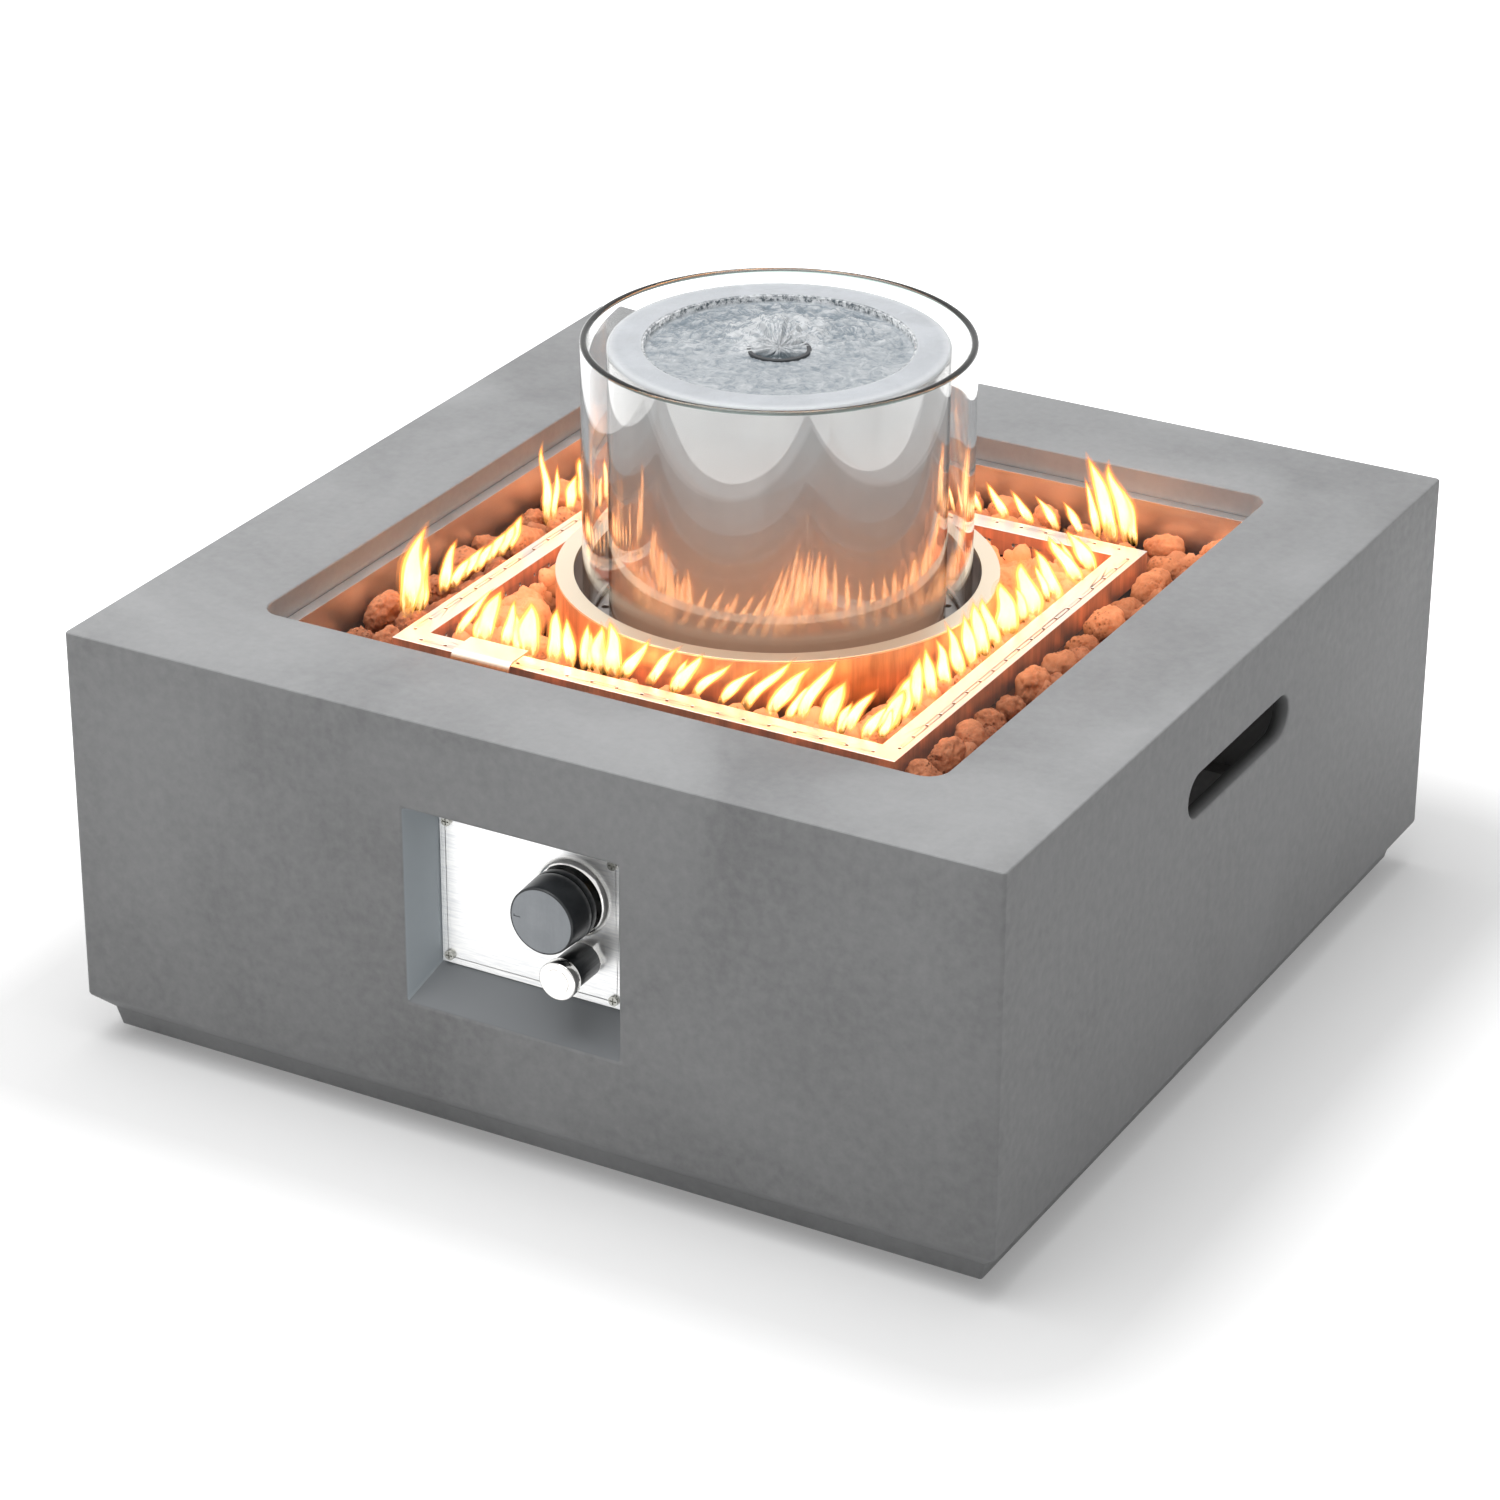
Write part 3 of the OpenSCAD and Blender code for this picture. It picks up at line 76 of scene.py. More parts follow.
class Graph:
    """A node tree, with short calls that add nodes and join them."""

    def __init__(self, tree: bpy.types.NodeTree) -> None:
        """Keep the tree, with its old nodes removed.

        Args:
            tree: the tree of a material, a world or a node group.
        """
        self.tree = tree
        tree.nodes.clear()

    def add(self, kind: str, inputs: Optional[dict] = None, **settings: object) -> bpy.types.Node:
        """Add one node.

        Args:
            kind: the node's type name.
            inputs: values or sockets for its inputs, by name or number.
            settings: values for the node's own properties.

        Returns:
            The new node.
        """
        node = self.tree.nodes.new(kind)
        for name, value in settings.items():
            setattr(node, name, value)
        for name, value in (inputs or {}).items():
            self.feed(node.inputs[name], value)
        return node

    def feed(self, socket: Socket, value: Value) -> None:
        """Set an input, or join it to an output.

        Args:
            socket: the input.
            value: a number, a colour, a vector or another node's output.
        """
        if isinstance(value, Socket):
            self.tree.links.new(value, socket)
        elif isinstance(value, tuple) and len(value) == 3 and socket.type == "RGBA":
            socket.default_value = (*value, 1)
        else:
            socket.default_value = value

    def place(self) -> Socket:
        """The point in the object's own space, which at rest is the part's."""
        return self.add("ShaderNodeTexCoord").outputs["Object"]

    def scaled(self, vector: Value, scale: Sequence[float]) -> Socket:
        """A vector with each axis times its own number."""
        return self.add("ShaderNodeVectorMath", {0: vector, 1: tuple(scale)},
                        operation="MULTIPLY").outputs[0]

    def noise(self, vector: Value, scale: Value, detail: float = 4, rough: float = 0.5,
              warp: float = 0) -> Socket:
        """A cloudy noise value."""
        return self.add("ShaderNodeTexNoise", {
            "Vector": vector, "Scale": scale, "Detail": detail, "Roughness": rough,
            "Distortion": warp}).outputs["Fac"]

    def cells(self, vector: Value, scale: Value) -> Socket:
        """The distance to the nearest cell point."""
        return self.add("ShaderNodeTexVoronoi", {"Vector": vector, "Scale": scale}).outputs["Distance"]

    def math(self, operation: str, a: Value, b: Value = 0.0, clamp: bool = False) -> Socket:
        """One sum or comparison of numbers."""
        return self.add("ShaderNodeMath", {0: a, 1: b}, operation=operation, use_clamp=clamp).outputs[0]

    def times(self, a: Value, b: Value) -> Socket:
        """One number times another."""
        return self.math("MULTIPLY", a, b)

    def plus(self, a: Value, b: Value, clamp: bool = False) -> Socket:
        """Two numbers together, kept between 0 and 1 if clamped."""
        return self.math("ADD", a, b, clamp)

    def minus(self, a: Value, b: Value) -> Socket:
        """One number less another."""
        return self.math("SUBTRACT", a, b)

    def size(self, a: Value) -> Socket:
        """A number without its sign."""
        return self.math("ABSOLUTE", a)

    def reach(self, a: Value, b: Value) -> Socket:
        """The length of the line whose two parts are given."""
        return self.math("SQRT", self.plus(self.math("POWER", a, 2.0), self.math("POWER", b, 2.0)))

    def span(self, value: Value, low: Value, high: Value, to_low: Value = 0.0,
             to_high: Value = 1.0) -> Socket:
        """A value mapped from one range to another, kept inside it."""
        return self.add("ShaderNodeMapRange", {
            "Value": value, "From Min": low, "From Max": high,
            "To Min": to_low, "To Max": to_high}).outputs["Result"]

    def mix(self, share: Value, a: Value, b: Value) -> Socket:
        """Two colours mixed by a share."""
        node = self.add("ShaderNodeMix", data_type="RGBA")
        self.feed(node.inputs[0], share)
        self.feed(node.inputs[6], a)
        self.feed(node.inputs[7], b)
        return node.outputs[2]

    def ramp(self, value: Value, *stops: tuple[float, Colour]) -> Socket:
        """A colour ramp over a value.

        Args:
            value: the value to map.
            stops: each a position and its colour.

        Returns:
            The colour.
        """
        node = self.add("ShaderNodeValToRGB", {0: value})
        points = node.color_ramp.elements
        while len(points) < len(stops):
            points.new(1)
        for point, (position, colour) in zip(points, stops):
            point.position = position
            point.color = (*colour, 1)
        return node.outputs[0]

    def parts(self, vector: Value) -> bpy.types.NodeOutputs:
        """The X, Y and Z of a vector."""
        return self.add("ShaderNodeSeparateXYZ", {0: vector}).outputs

    def bump(self, height: Value, distance: float, strength: float = 1.0) -> Socket:
        """A normal bent by a height."""
        return self.add("ShaderNodeBump", {
            "Height": height, "Distance": distance, "Strength": strength}).outputs["Normal"]


class Effect(Enum):
    """The effects that more than one material uses."""

    PATCHES = "patchy_tone"
    PITS = "fine_pits"
    BRUSHED = "brushed_grain"
    # A mask for painted firelight near the burner, and heat tint on steel.
    WARMTH = "flame_warmth"
    # A mask on convex edges: scuffs on moulded parts, pale edges on the concrete and a painted highlight on
    # lava rock.
    RUB = "rubbed_edges"


class Effects:
    """Node groups, each built once and placed in each material with its own values."""

    def __init__(self) -> None:
        """Build the groups."""
        self.groups: dict[Effect, bpy.types.NodeTree] = {}
        self._patches()
        self._pits()
        self._brushed()
        self._firelight()
        self._convex_edges()

    def _start(self, effect: Effect, inputs: Sequence[tuple], outputs: Sequence[tuple]
               ) -> tuple[Graph, bpy.types.NodeOutputs, bpy.types.Node]:
        """Make an empty group with its sockets.

        Args:
            effect: which group.
            inputs: each a name, a socket type and a value.
            outputs: each a name and a socket type.

        Returns:
            The group's graph, its given values and its output node.
        """
        tree = bpy.data.node_groups.new(effect.value, "ShaderNodeTree")
        self.groups[effect] = tree
        graph = Graph(tree)
        for name, kind, value in inputs:
            socket = tree.interface.new_socket(name=name, in_out="INPUT", socket_type=kind)
            if value is not None:
                socket.default_value = value
        for name, kind in outputs:
            tree.interface.new_socket(name=name, in_out="OUTPUT", socket_type=kind)
        return graph, graph.add("NodeGroupInput").outputs, graph.add("NodeGroupOutput")

    def _patches(self) -> None:
        """Large soft patches and small specks between a light and a dark colour."""
        g, given, out = self._start(Effect.PATCHES, [
            ("Light", "NodeSocketColor", None), ("Dark", "NodeSocketColor", None),
            ("Scale", "NodeSocketFloat", 6.0), ("Speck", "NodeSocketFloat", 0.2)],
            [("Colour", "NodeSocketColor"), ("Mask", "NodeSocketFloat")])
        place = g.place()
        large = g.noise(place, given["Scale"], 5, 0.55, 0.6)
        fine = g.noise(place, g.times(given["Scale"], 34.0), 3, 0.6)
        both = g.plus(g.span(large, 0.32, 0.68), g.times(g.minus(fine, 0.5), given["Speck"]))
        mask = g.plus(both, 0.0, clamp=True)
        g.feed(out.inputs["Colour"], g.mix(mask, given["Dark"], given["Light"]))
        g.feed(out.inputs["Mask"], mask)

    def _pits(self) -> None:
        """Small pits in a cast or porous surface."""
        g, given, out = self._start(Effect.PITS, [
            ("Scale", "NodeSocketFloat", 300.0), ("Depth", "NodeSocketFloat", 0.2)],
            [("Height", "NodeSocketFloat"), ("Mask", "NodeSocketFloat")])
        place = g.place()
        cell = g.cells(place, given["Scale"])
        pit = g.span(cell, 0.02, given["Depth"])
        where = g.span(g.noise(place, g.times(given["Scale"], 0.1), 2), 0.45, 0.62)
        mask = g.times(g.minus(1.0, pit), where)
        grit = g.noise(place, g.times(given["Scale"], 1.7), 4, 0.65)
        height = g.minus(g.times(grit, 0.35), mask)
        g.feed(out.inputs["Height"], height)
        g.feed(out.inputs["Mask"], mask)

    def _brushed(self) -> None:
        """Fine parallel streaks along the axis that the given vector stretches."""
        g, given, out = self._start(Effect.BRUSHED, [
            ("Vector", "NodeSocketVector", None), ("Scale", "NodeSocketFloat", 60.0)],
            [("Height", "NodeSocketFloat"), ("Streaks", "NodeSocketFloat")])
        fine = g.noise(given["Vector"], given["Scale"], 3, 0.7)
        wide = g.noise(given["Vector"], g.times(given["Scale"], 0.16), 3, 0.5)
        g.feed(out.inputs["Height"], fine)
        g.feed(out.inputs["Streaks"], g.plus(g.times(fine, 0.5), g.times(wide, 0.5)))

    def _firelight(self) -> None:
        """A mask for painted firelight that is 1 beside the burner's square tube and fades with distance.
        """
        g, given, out = self._start(Effect.WARMTH, [
            ("Reach", "NodeSocketFloat", 0.05), ("Line", "NodeSocketFloat", 0.175),
            ("Height", "NodeSocketFloat", 0.28)], [("Mask", "NodeSocketFloat")])
        axes = g.parts(g.place())
        side = g.math("MAXIMUM", g.size(axes[0]), g.size(axes[1]))
        away = g.size(g.minus(side, given["Line"]))
        below = g.size(g.minus(axes[2], given["Height"]))
        g.feed(out.inputs["Mask"], g.span(g.reach(away, below), 0.006, given["Reach"], 1.0, 0.0))

    def _convex_edges(self) -> None:
        """A mask along convex edges, broken up by noise."""
        g, given, out = self._start(Effect.RUB, [
            ("Width", "NodeSocketFloat", 0.52), ("Scale", "NodeSocketFloat", 90.0)],
            [("Mask", "NodeSocketFloat")])
        edge = g.add("ShaderNodeNewGeometry").outputs["Pointiness"]
        broken = g.noise(g.place(), given["Scale"], 4, 0.6)
        raised = g.span(edge, 0.5, given["Width"])
        g.feed(out.inputs["Mask"], g.times(raised, g.span(broken, 0.35, 0.7)))

    def use(self, graph: Graph, effect: Effect, **inputs: Value) -> bpy.types.NodeOutputs:
        """Place a group in a tree.

        Args:
            graph: the tree to place it in.
            effect: which group.
            inputs: its values, by input name.

        Returns:
            The group's outputs.
        """
        node = graph.add("ShaderNodeGroup", node_tree=self.groups[effect])
        for name, value in inputs.items():
            graph.feed(node.inputs[name], value)
        return node.outputs


# Finishes


@dataclass(frozen=True)
class Finish:
    """A material's name, and the plain values that all finishes set."""

    name: str
    roughness: float = 0.5

    def material(self, effects: Effects) -> bpy.types.Material:
        """Make the material.

        Args:
            effects: the shared node groups.

        Returns:
            The new material.
        """
        made = bpy.data.materials.new(self.name)
        made.use_nodes = True
        graph = Graph(made.node_tree)
        shader = graph.add("ShaderNodeBsdfPrincipled", {"Roughness": self.roughness})
        out = graph.add("ShaderNodeOutputMaterial")
        graph.feed(out.inputs["Surface"], shader.outputs[0])
        self.paint(graph, shader, effects)
        return made

    def paint(self, g: Graph, shader: bpy.types.Node, effects: Effects) -> None:
        """Add the nodes that give the finish its detail.

        Args:
            g: the material's tree.
            shader: its Principled shader.
            effects: the shared node groups.
        """
        raise NotImplementedError


@dataclass(frozen=True)
class CastStone(Finish):
    """Smooth grey cast concrete with cloudy patches, pinholes and pale edges, painted shade in the hand
    slots and painted light and shade in the recess.
    """

    light: Colour = (0.39, 0.394, 0.4)
    dark: Colour = (0.255, 0.257, 0.262)
    pinhole: Colour = (0.2, 0.2, 0.205)
    edge: Colour = (0.6, 0.6, 0.6)
    # Painted light on the recess's side wall and painted shade on its sill.
    recess_side_painted_light: Colour = (0.54, 0.6, 0.64)
    recess_sill_painted_shade: Colour = (0.27, 0.285, 0.3)
    # Painted shade inside the hand slots.
    slot_painted_shade: Colour = (0.03, 0.03, 0.03)
    slot_box: Box = ((0, 0.0, 0.3495), (1, 0.005, 0.0835), (2, 0.236, 0.0175))
    slot_depth: Spread = (0.34, 0.3495)
    recess_box: Box = ((0, -0.005, 0.095), (2, 0.178, 0.085))
    recess_front: Spread = (-0.3497, -0.349)
    recess_back: Spread = (-0.31, -0.3095)

    def _within(self, g: Graph, mask: Value, axes: bpy.types.NodeOutputs, box: Box) -> Socket:
        """A mask that is kept inside a box and fades over half a millimetre outside it.

        Args:
            g: the material's tree.
            mask: the mask so far.
            axes: the place's X, Y and Z.
            box: where the mask stays.

        Returns:
            The new mask.
        """
        for axis, middle, half in box:
            apart = g.size(g.minus(axes[axis], middle))
            mask = g.times(mask, g.span(apart, half, half + 0.0005, 1.0, 0.0))
        return mask

    def paint(self, g: Graph, shader: bpy.types.Node, effects: Effects) -> None:
        """Add patches, pinholes, pale convex edges, painted shade in the slots, painted light and shade in
        the recess and a faint trowelled unevenness.

        Args:
            g: the material's tree.
            shader: its Principled shader.
            effects: the shared node groups.
        """
        tone = effects.use(g, Effect.PATCHES, Light=self.light, Dark=self.dark, Scale=5.5, Speck=0.5)
        pits = effects.use(g, Effect.PITS, Scale=420.0, Depth=0.16)
        edge_share = effects.use(g, Effect.RUB, Width=0.56, Scale=120.0)
        colour = g.mix(g.times(pits["Mask"], 0.55), tone["Colour"], self.pinhole)
        colour = g.mix(g.times(edge_share["Mask"], 0.25), colour, self.edge)
        axes = g.parts(g.place())
        across = g.size(axes[0])
        # Painted shade inside the hand slots.
        slot_shade = self._within(g, g.span(across, *self.slot_depth, 0.95, 0.0), axes, self.slot_box)
        slot_shade = g.times(slot_shade, g.span(across, 0.33, 0.3305))
        recess = g.times(g.span(axes[1], *self.recess_front), g.span(axes[1], *self.recess_back, 1.0, 0.0))
        recess = self._within(g, recess, axes, self.recess_box)
        facing = g.parts(g.add("ShaderNodeNewGeometry").outputs["True Normal"])
        # Painted light on the recess's side wall and painted shade on its sill, chosen by which way each
        # face turns.
        for axis, tint in ((0, self.recess_side_painted_light), (2, self.recess_sill_painted_shade)):
            turned = g.times(recess, g.span(facing[axis], 0.4, 0.6, 0.0, 0.9))
            colour = g.mix(turned, colour, tint)
        g.feed(shader.inputs["Base Color"], g.mix(slot_shade, colour, self.slot_painted_shade))
        g.feed(shader.inputs["Roughness"], g.span(tone["Mask"], 0.0, 1.0, 0.5, 0.66))
        swell = g.noise(g.place(), 26.0, 3, 0.5)
        height = g.plus(g.times(swell, 0.6), g.times(pits["Height"], 0.5))
        g.feed(shader.inputs["Normal"], g.bump(height, 0.00025, 0.7))


@dataclass(frozen=True)
class LavaRock(Finish):
    """Porous red lava rock with painted firelight and glow where flames lick it, and painted shade low down
    and at the front.
    """

    # Strength of the painted glow from the flames.
    painted_glow: float = 0.9
    light: Colour = (0.82, 0.33, 0.16)
    dark: Colour = (0.44, 0.145, 0.065)
    # A painted highlight on convex crests.
    crest_highlight: Colour = (0.9, 0.47, 0.3)
    pore: Colour = (0.1, 0.03, 0.016)
    # Painted firelight near the flames, painted shade towards the front and in the gaps low down.
    firelit_colour: Colour = (0.9, 0.4, 0.2)
    front_painted_shade: Colour = (0.3, 0.1, 0.05)
    gap_painted_shade: Colour = (0.1, 0.024, 0.008)
    # The colour of the painted glow from the flames.
    fire: Colour = (1.0, 0.32, 0.12)
    heap: Spread = (0.25, 0.277)

    def paint(self, g: Graph, shader: bpy.types.Node, effects: Effects) -> None:
        """Add pores, painted highlights on crests, painted shade low down and at the front, and painted
        firelight and glow near the flames.

        Args:
            g: the material's tree.
            shader: its Principled shader.
            effects: the shared node groups.
        """
        tone = effects.use(g, Effect.PATCHES, Light=self.light, Dark=self.dark, Scale=55.0, Speck=0.9)
        pits = effects.use(g, Effect.PITS, Scale=330.0, Depth=0.42)
        edge_share = effects.use(g, Effect.RUB, Width=0.6, Scale=200.0)
        # Painted highlight on the convex crests.
        colour = g.mix(g.times(edge_share["Mask"], 0.6), tone["Colour"], self.crest_highlight)
        colour = g.mix(g.times(pits["Mask"], 0.75), colour, self.pore)
        # Painted firelight near the burner.
        firelight_share = effects.use(g, Effect.WARMTH, Reach=0.07, Line=0.14, Height=0.275)["Mask"]
        colour = g.mix(g.times(firelight_share, 0.5), colour, self.firelit_colour)
        axes = g.parts(g.place())
        # Painted shade low in the heap and towards the front.
        low = g.span(axes[2], *self.heap, 0.9, 0.0)
        colour = g.mix(g.span(axes[1], -0.24, -0.02, 0.4, 0.0), colour, self.front_painted_shade)
        g.feed(shader.inputs["Base Color"], g.mix(low, colour, self.gap_painted_shade))
        # Painted glow from the flames, stronger towards the back.
        fire = g.plus(firelight_share, g.span(axes[1], -0.15, 0.1, 0.0, 0.6))
        lit = g.times(g.minus(fire, low), g.span(pits["Mask"], 0.0, 1.0, 1.0, 0.3))
        g.feed(shader.inputs["Emission Color"], g.mix(lit, (0.0, 0.0, 0.0), self.fire))
        shader.inputs["Emission Strength"].default_value = self.painted_glow
        shader.inputs["Roughness"].default_value = 0.92
        g.feed(shader.inputs["Normal"], g.bump(pits["Height"], 0.0011, 0.9))


@dataclass(frozen=True)
class Steel(Finish):
    """Brushed or rolled metal, with heat tint, painted firelight and a painted glow near the flames."""

    colour: Colour = (0.72, 0.72, 0.73)
    stain: Colour = (0.6, 0.6, 0.61)
    stretch: tuple[float, float, float] = (1.0, 1.0, 1.0)
    grain: float = 60.0
    spread: float = 0.12
    # Heat tint with painted firelight near the burner, and a painted glow.
    heat_tint_and_firelight: float = 0.0
    heat_tint_and_firelight_colour: Colour = (0.95, 0.62, 0.36)
    painted_glow: float = 0.0
    dent: float = 0.0001
    # Heat stain with painted firelight on upright faces.
    upright_stain_and_firelight: Optional[Colour] = None
    # A dark brown over the bowl's floor and the lowest parts inside it.
    low_dark: Colour = (0.06, 0.024, 0.014)
    low_dark_from: Spread = (0.2436, 0.2438)
    low_dark_up_to: Spread = (0.2445, 0.256)
    bowl_wall: Spread = (0.236, 0.243)
    # Painted light on the ring's top edge.
    ring_top_painted_light: Colour = (0.96, 0.82, 0.64)
    ring_top: Spread = (0.2955, 0.297)
    plate_light: Colour = (0.95, 0.95, 0.935)
    plate_dark: Colour = (0.78, 0.79, 0.8)
    plate_face: Spread = (-0.3165, -0.3155)

    def paint(self, g: Graph, shader: bpy.types.Node, effects: Effects) -> None:
        """Add the streaks, stains, heat tint, painted firelight and painted glow.

        Args:
            g: the material's tree.
            shader: its Principled shader.
            effects: the shared node groups.
        """
        shader.inputs["Metallic"].default_value = 1.0
        place = g.place()
        brushed = effects.use(g, Effect.BRUSHED, Vector=g.scaled(place, self.stretch), Scale=self.grain)
        tone = effects.use(g, Effect.PATCHES, Light=self.colour, Dark=self.stain, Scale=14.0, Speck=0.3)
        colour = g.mix(g.span(brushed["Streaks"], 0.35, 0.65, 0.0, 0.3), tone["Colour"], self.stain)
        # Heat tint and painted firelight near the burner, with a painted glow.
        if self.heat_tint_and_firelight:
            firelight_share = effects.use(g, Effect.WARMTH, Reach=0.055)["Mask"]
            colour = g.mix(g.times(firelight_share, self.heat_tint_and_firelight), colour, self.heat_tint_and_firelight_colour)
            if self.painted_glow:
                g.feed(shader.inputs["Emission Color"], g.mix(firelight_share, (0.0, 0.0, 0.0), self.heat_tint_and_firelight_colour))
                shader.inputs["Emission Strength"].default_value = self.painted_glow
            colour = self._bowl_ring_and_plate(g, place, colour)
        # Heat stain and painted firelight on upright faces.
        if self.upright_stain_and_firelight:
            level = g.parts(g.add("ShaderNodeNewGeometry").outputs["True Normal"])[2]
            upright = g.span(g.size(level), 0.3, 0.8, 1.0, 0.0)
            deeper = tuple(0.6 * c for c in self.upright_stain_and_firelight)
            streaked = g.mix(g.span(brushed["Streaks"], 0.4, 0.6), self.upright_stain_and_firelight, deeper)
            colour = g.mix(upright, colour, streaked)
        g.feed(shader.inputs["Base Color"], colour)
        half = self.spread / 2
        g.feed(shader.inputs["Roughness"], g.span(
            brushed["Streaks"], 0.3, 0.7, self.roughness - half, self.roughness + half))
        g.feed(shader.inputs["Normal"], g.bump(brushed["Height"], self.dent, 0.5))

    def _bowl_ring_and_plate(self, g: Graph, place: Socket, colour: Socket) -> Socket:
        """A dark brown over the bowl's floor, painted light on the ring's top edge and the panel's brushed
        face.

        Args:
            g: the material's tree.
            place: the point in the part's space.
            colour: the steel's colour so far.

        Returns:
            The new colour.
        """
        axes = g.parts(place)
        # A dark brown over the bowl's floor and the lowest 12 mm inside it.
        low_dark = g.times(g.span(axes[2], *self.low_dark_from), g.span(axes[2], *self.low_dark_up_to, 0.92, 0.0))
        for axis in (0, 1):
            low_dark = g.times(low_dark, g.span(g.size(axes[axis]), *self.bowl_wall, 1.0, 0.0))
        colour = g.mix(low_dark, colour, self.low_dark)
        # Painted light on the ring's top edge.
        colour = g.mix(g.span(axes[2], *self.ring_top), colour, self.ring_top_painted_light)
        streaks = g.noise(g.scaled(place, (9.0, 1.0, 120.0)), 6.0, 3, 0.6)
        plate = g.mix(g.span(streaks, 0.35, 0.62), self.plate_dark, self.plate_light)
        return g.mix(g.span(axes[1], *self.plate_face, 1.0, 0.0), colour, plate)


@dataclass(frozen=True)
class Moulded(Finish):
    """Plastic, rubber or ceramic with a fine moulded texture and scuffed edges."""

    colour: Colour = (0.02, 0.02, 0.022)
    worn: Colour = (0.07, 0.07, 0.075)
    texture: float = 900.0
    depth: float = 0.00006

    def paint(self, g: Graph, shader: bpy.types.Node, effects: Effects) -> None:
        """Add the texture, uneven gloss and scuffs.

        Args:
            g: the material's tree.
            shader: its Principled shader.
            effects: the shared node groups.
        """
        tone = effects.use(g, Effect.PATCHES, Light=self.worn, Dark=self.colour, Scale=40.0, Speck=0.4)
        edge_share = effects.use(g, Effect.RUB, Width=0.62, Scale=300.0)
        share = g.times(tone["Mask"], 0.25)
        colour = g.mix(g.plus(share, g.times(edge_share["Mask"], 0.5), clamp=True),
                       self.colour, self.worn)
        g.feed(shader.inputs["Base Color"], colour)
        g.feed(shader.inputs["Roughness"], g.span(
            tone["Mask"], 0.0, 1.0, self.roughness - 0.06, self.roughness + 0.08))
        g.feed(shader.inputs["Normal"], g.bump(g.noise(g.place(), self.texture, 2), self.depth, 0.6))


@dataclass(frozen=True)
class ClearGlass(Finish):
    """Clear glass with a faint waviness and a few water marks."""

    tint: Colour = (0.988, 0.992, 0.988)
    index: float = 1.46
    marks: float = 0.03

    def paint(self, g: Graph, shader: bpy.types.Node, effects: Effects) -> None:
        """Add the tint, marks and waviness.

        Args:
            g: the material's tree.
            shader: its Principled shader.
            effects: the shared node groups.
        """
        shader.inputs["Transmission Weight"].default_value = 1.0
        shader.inputs["IOR"].default_value = self.index
        tone = effects.use(g, Effect.PATCHES, Light=self.tint, Dark=tuple(0.985 * c for c in self.tint),
                           Scale=20.0, Speck=0.3)
        g.feed(shader.inputs["Base Color"], tone["Colour"])
        pits = effects.use(g, Effect.PITS, Scale=260.0, Depth=0.12)
        g.feed(shader.inputs["Roughness"], g.times(pits["Mask"], self.marks))
        g.feed(shader.inputs["Normal"], g.bump(g.noise(g.place(), 18.0, 2), 0.0001, 0.2))


@dataclass(frozen=True)
class FallingWater(Finish):
    """The clear film that runs down the drum."""

    tint: Colour = (0.99, 0.99, 0.985)
    shade: Colour = (0.96, 0.955, 0.95)

    def paint(self, g: Graph, shader: bpy.types.Node, effects: Effects) -> None:
        """Add the tint and long ripples.

        Args:
            g: the material's tree.
            shader: its Principled shader.
            effects: the shared node groups.
        """
        shader.inputs["Transmission Weight"].default_value = 1.0
        shader.inputs["IOR"].default_value = 1.33
        tone = effects.use(g, Effect.PATCHES, Light=self.tint, Dark=self.shade, Scale=24.0, Speck=0.2)
        ripples = g.noise(g.scaled(g.place(), (1.0, 1.0, 0.08)), 60.0, 3)
        g.feed(shader.inputs["Base Color"], tone["Colour"])
        g.feed(shader.inputs["Roughness"], g.span(
            ripples, 0.5, 0.8, self.roughness, self.roughness + 0.006))
        g.feed(shader.inputs["Normal"], g.bump(ripples, 0.00002, 0.2))


